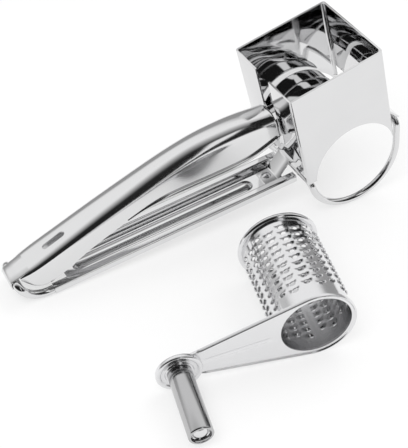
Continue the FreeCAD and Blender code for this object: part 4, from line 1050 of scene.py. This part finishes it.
def make_knob():
    """The disc, the turning grip and the pin: three outlines turned round the knob's axis."""
    floor = -BOSS_HEIGHT + DISH_DEPTH
    boss = closed_profile([(SPINDLE_RADIUS, 0), (BOSS_RADIUS, 0), (BOSS_RADIUS, -BOSS_HEIGHT),
                           (BOSS_RADIUS - 1.9, -BOSS_HEIGHT), (BOSS_RADIUS - 2.6, floor),
                           (SLEEVE_RADIUS + 1.2, floor), (SLEEVE_RADIUS + 0.7, -BOSS_HEIGHT),
                           (SPINDLE_RADIUS, -BOSS_HEIGHT)], [0.01, 0.5, 0.9, 0.7, 0.5, 0.3, 0.2, 0.01])
    piece = mesh_object("knob_disc", [revolved(boss, 96)], KNOB)
    dress(piece, "drum", "crank_steel", satin_crank, "knob_boss")
    start, end = -BOSS_HEIGHT - REST_GAP, -KNOB_LENGTH
    cup = end + CUP_DEPTH
    sleeve = closed_profile([(BORE_RADIUS, start), (SLEEVE_RADIUS, start), (SLEEVE_RADIUS, end),
                             (CUP_RADIUS, end), (CUP_RADIUS, cup), (BORE_RADIUS, cup)],
                            [0.05, 0.3, 0.75, 0.3, 0.3, 0.05])
    piece = mesh_object("knob_grip", [revolved(sleeve, 96)], KNOB)
    dress(piece, "knob", "knob_steel", brushed_knob, "knob_sleeve")
    base = cup - KNOB_CLEARANCE
    tail = CRANK_SHEET + TAIL_HEAD
    dome = arc((0.0, base - HEAD_HEIGHT + 6.0), 6.0, -math.pi / 2, -0.86, 10)
    pin = np.concatenate([dome, [(SPINDLE_HEAD, base - HEAD_HEIGHT * 0.35), (SPINDLE_HEAD, base),
                                 (SPINDLE_RADIUS, base), (SPINDLE_RADIUS, CRANK_SHEET),
                                 (SPINDLE_HEAD, CRANK_SHEET), (SPINDLE_HEAD, CRANK_SHEET + 0.5),
                                 (SPINDLE_HEAD - 0.6, tail), (0.0, tail)]])
    piece = mesh_object("knob_pin", [revolved(pin, 64, closed=False)], KNOB)
    dress(piece, "drum", "rivet_steel", polished_rod, "knob_spindle")


make_hopper()
make_folds()
make_hoops()
make_lower_handle()
make_tail_bar()
make_strap()
make_press_handle()
make_arm()
make_plate()
make_saddle()
make_drum()
make_crank()
make_knob()
for node, material in (("bracket_rivet", rivet_metal), ("presser_rivets", rivet_metal),
                       ("drum_collar", drum_sheet), ("drum_seam_strip", drum_sheet)):
    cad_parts[node].data.materials.clear()
    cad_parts[node].data.materials.append(material)


# ---------------------------------------------------------------- studio
# Brightness of the room for metal, by its angle in half turns from the far floor line.
STUDIO = [(0.0, 0.36), (0.2, 0.36), (0.235, 0.9), (0.255, 1.0), (0.35, 1.0), (0.42, 0.55), (0.5, 0.25),
          (0.57, 0.04), (0.63, 0.012), (0.93, 0.012), (1.0, 0.3)]
ROOM_HEADING = (0.46, 0.888)
LEFT_WALL = 0.7
EVEN_LIGHT = 0.72
FLOOR_WHITE = 0.93
FLOOR_GLOW = 0.6
FLOOR_REACH = 3

# The camera's place in metres, its view and its right side, and its lens in millimetres.
CAMERA_SPOT = (-0.20339, -0.34321, 0.41097)
CAMERA_AHEAD = (0.33831, 0.65207, -0.67849)
CAMERA_RIGHT = (0.88051, -0.47376, -0.01628)
CAMERA_LENS = 88.32
CAMERA_FRAME = 36.0


def make_floor():
    """A pale matt floor that the eye and the metal see nearly white."""
    material = bpy.data.materials.new("pale_floor")
    graph = Graph(material)
    skin = graph.node("ShaderNodeBsdfDiffuse", None, {"Color": colour_of(FLOOR_WHITE)})
    glow = graph.node("ShaderNodeEmission", None, {"Color": colour_of(1.0), "Strength": 1.0})
    seen = graph.node("ShaderNodeLightPath", output=0)
    glossy = graph.node("ShaderNodeLightPath", output=3)
    share = seen.math("MAXIMUM", glossy) * FLOOR_GLOW
    mixed = graph.node("ShaderNodeMixShader", None, {0: share, 1: skin, 2: glow})
    graph.node("ShaderNodeOutputMaterial", None, {"Surface": mixed})
    mesh = bpy.data.meshes.new("floor")
    reach = FLOOR_REACH
    mesh.from_pydata([(-reach, -reach, 0), (reach, -reach, 0), (reach, reach, 0), (-reach, reach, 0)],
                     [], [(0, 1, 2, 3)])
    mesh.materials.append(material)
    linked("floor", mesh)


def make_world():
    """White to the eye; even light on matt surfaces; for metal a studio: grey far wall, a bright band
    above it, and a dark room on the viewer's side with one white strip.

    The band runs round an axis across the room: its angle is arctan(up / away), from the far floor
    line over the ceiling to the near floor line."""
    world = bpy.data.worlds.new("studio")
    bpy.context.scene.world = world
    graph = Graph(world)
    sky = graph.node("ShaderNodeTexCoord", output=0)
    x, y, up = [graph.node("ShaderNodeSeparateXYZ", None, {0: sky}, output=index) for index in range(3)]
    away = x * ROOM_HEADING[0] + y * ROOM_HEADING[1]
    angle = up.math("ARCTAN2", away) * (1 / math.pi)
    room = graph.node("ShaderNodeValToRGB", {"stops": STUDIO}, {0: angle})
    left = (1 - soft_step(x, -0.75, -0.35)) * (1 - soft_step(angle, 0.2, 0.45))
    mixed = blended(left, room, colour_of(LEFT_WALL))
    lean = up.math("ARCTAN2", x) * (1 / math.pi)
    strip = (soft_step(lean, 0.375, 0.395) * (1 - soft_step(lean, 0.465, 0.485))
             * (1 - soft_step(y, -0.5, -0.3)))
    mixed = blended(strip, mixed, colour_of(1.0))
    levels = ((mixed, 1.0), (colour_of(1.0), EVEN_LIGHT), (colour_of(1.0), 1.0))
    studio, plain, white = [
        graph.node("ShaderNodeBackground", None, {"Color": colour, "Strength": strength})
        for colour, strength in levels]
    seen = graph.node("ShaderNodeLightPath", output=0)
    glossy = graph.node("ShaderNodeLightPath", output=3)
    lit = graph.node("ShaderNodeMixShader", None, {0: glossy, 1: plain, 2: studio})
    final = graph.node("ShaderNodeMixShader", None, {0: seen, 1: lit, 2: white})
    graph.node("ShaderNodeOutputWorld", None, {"Surface": final})


def make_lamp(name, spot, size, power):
    """A soft square lamp aimed at the middle of the scene."""
    data = bpy.data.lights.new(name, "AREA")
    data.shape = "SQUARE"
    data.size = size
    data.energy = power
    lamp = linked(name, data)
    lamp.location = spot
    lamp.rotation_euler = (Vector((0, 0, 0.02)) - Vector(spot)).to_track_quat("-Z", "Y").to_euler()
    lamp.visible_glossy = False


def make_camera():
    """A long lens that looks down on the tool from its front left."""
    spot = Vector(CAMERA_SPOT)
    ahead = Vector(CAMERA_AHEAD).normalized()
    right = Vector(CAMERA_RIGHT)
    right = (right - ahead * right.dot(ahead)).normalized()
    above = right.cross(ahead)
    data = bpy.data.cameras.new("camera")
    data.sensor_fit = "VERTICAL"
    data.sensor_height = CAMERA_FRAME
    data.lens = CAMERA_LENS
    data.clip_start = 0.01
    data.clip_end = 20.0
    camera = linked("camera", data)
    turn = Matrix((right, above, -ahead)).transposed().to_4x4()
    camera.matrix_world = Matrix.Translation(spot) @ turn
    bpy.context.scene.camera = camera


make_floor()
make_world()
make_lamp("key_lamp", (-0.5, -0.4, 1.1), 0.7, 6.0)
make_lamp("fill_lamp", (0.7, 0.3, 0.9), 0.8, 3.0)
make_camera()
bpy.context.scene.view_settings.view_transform = "Standard"
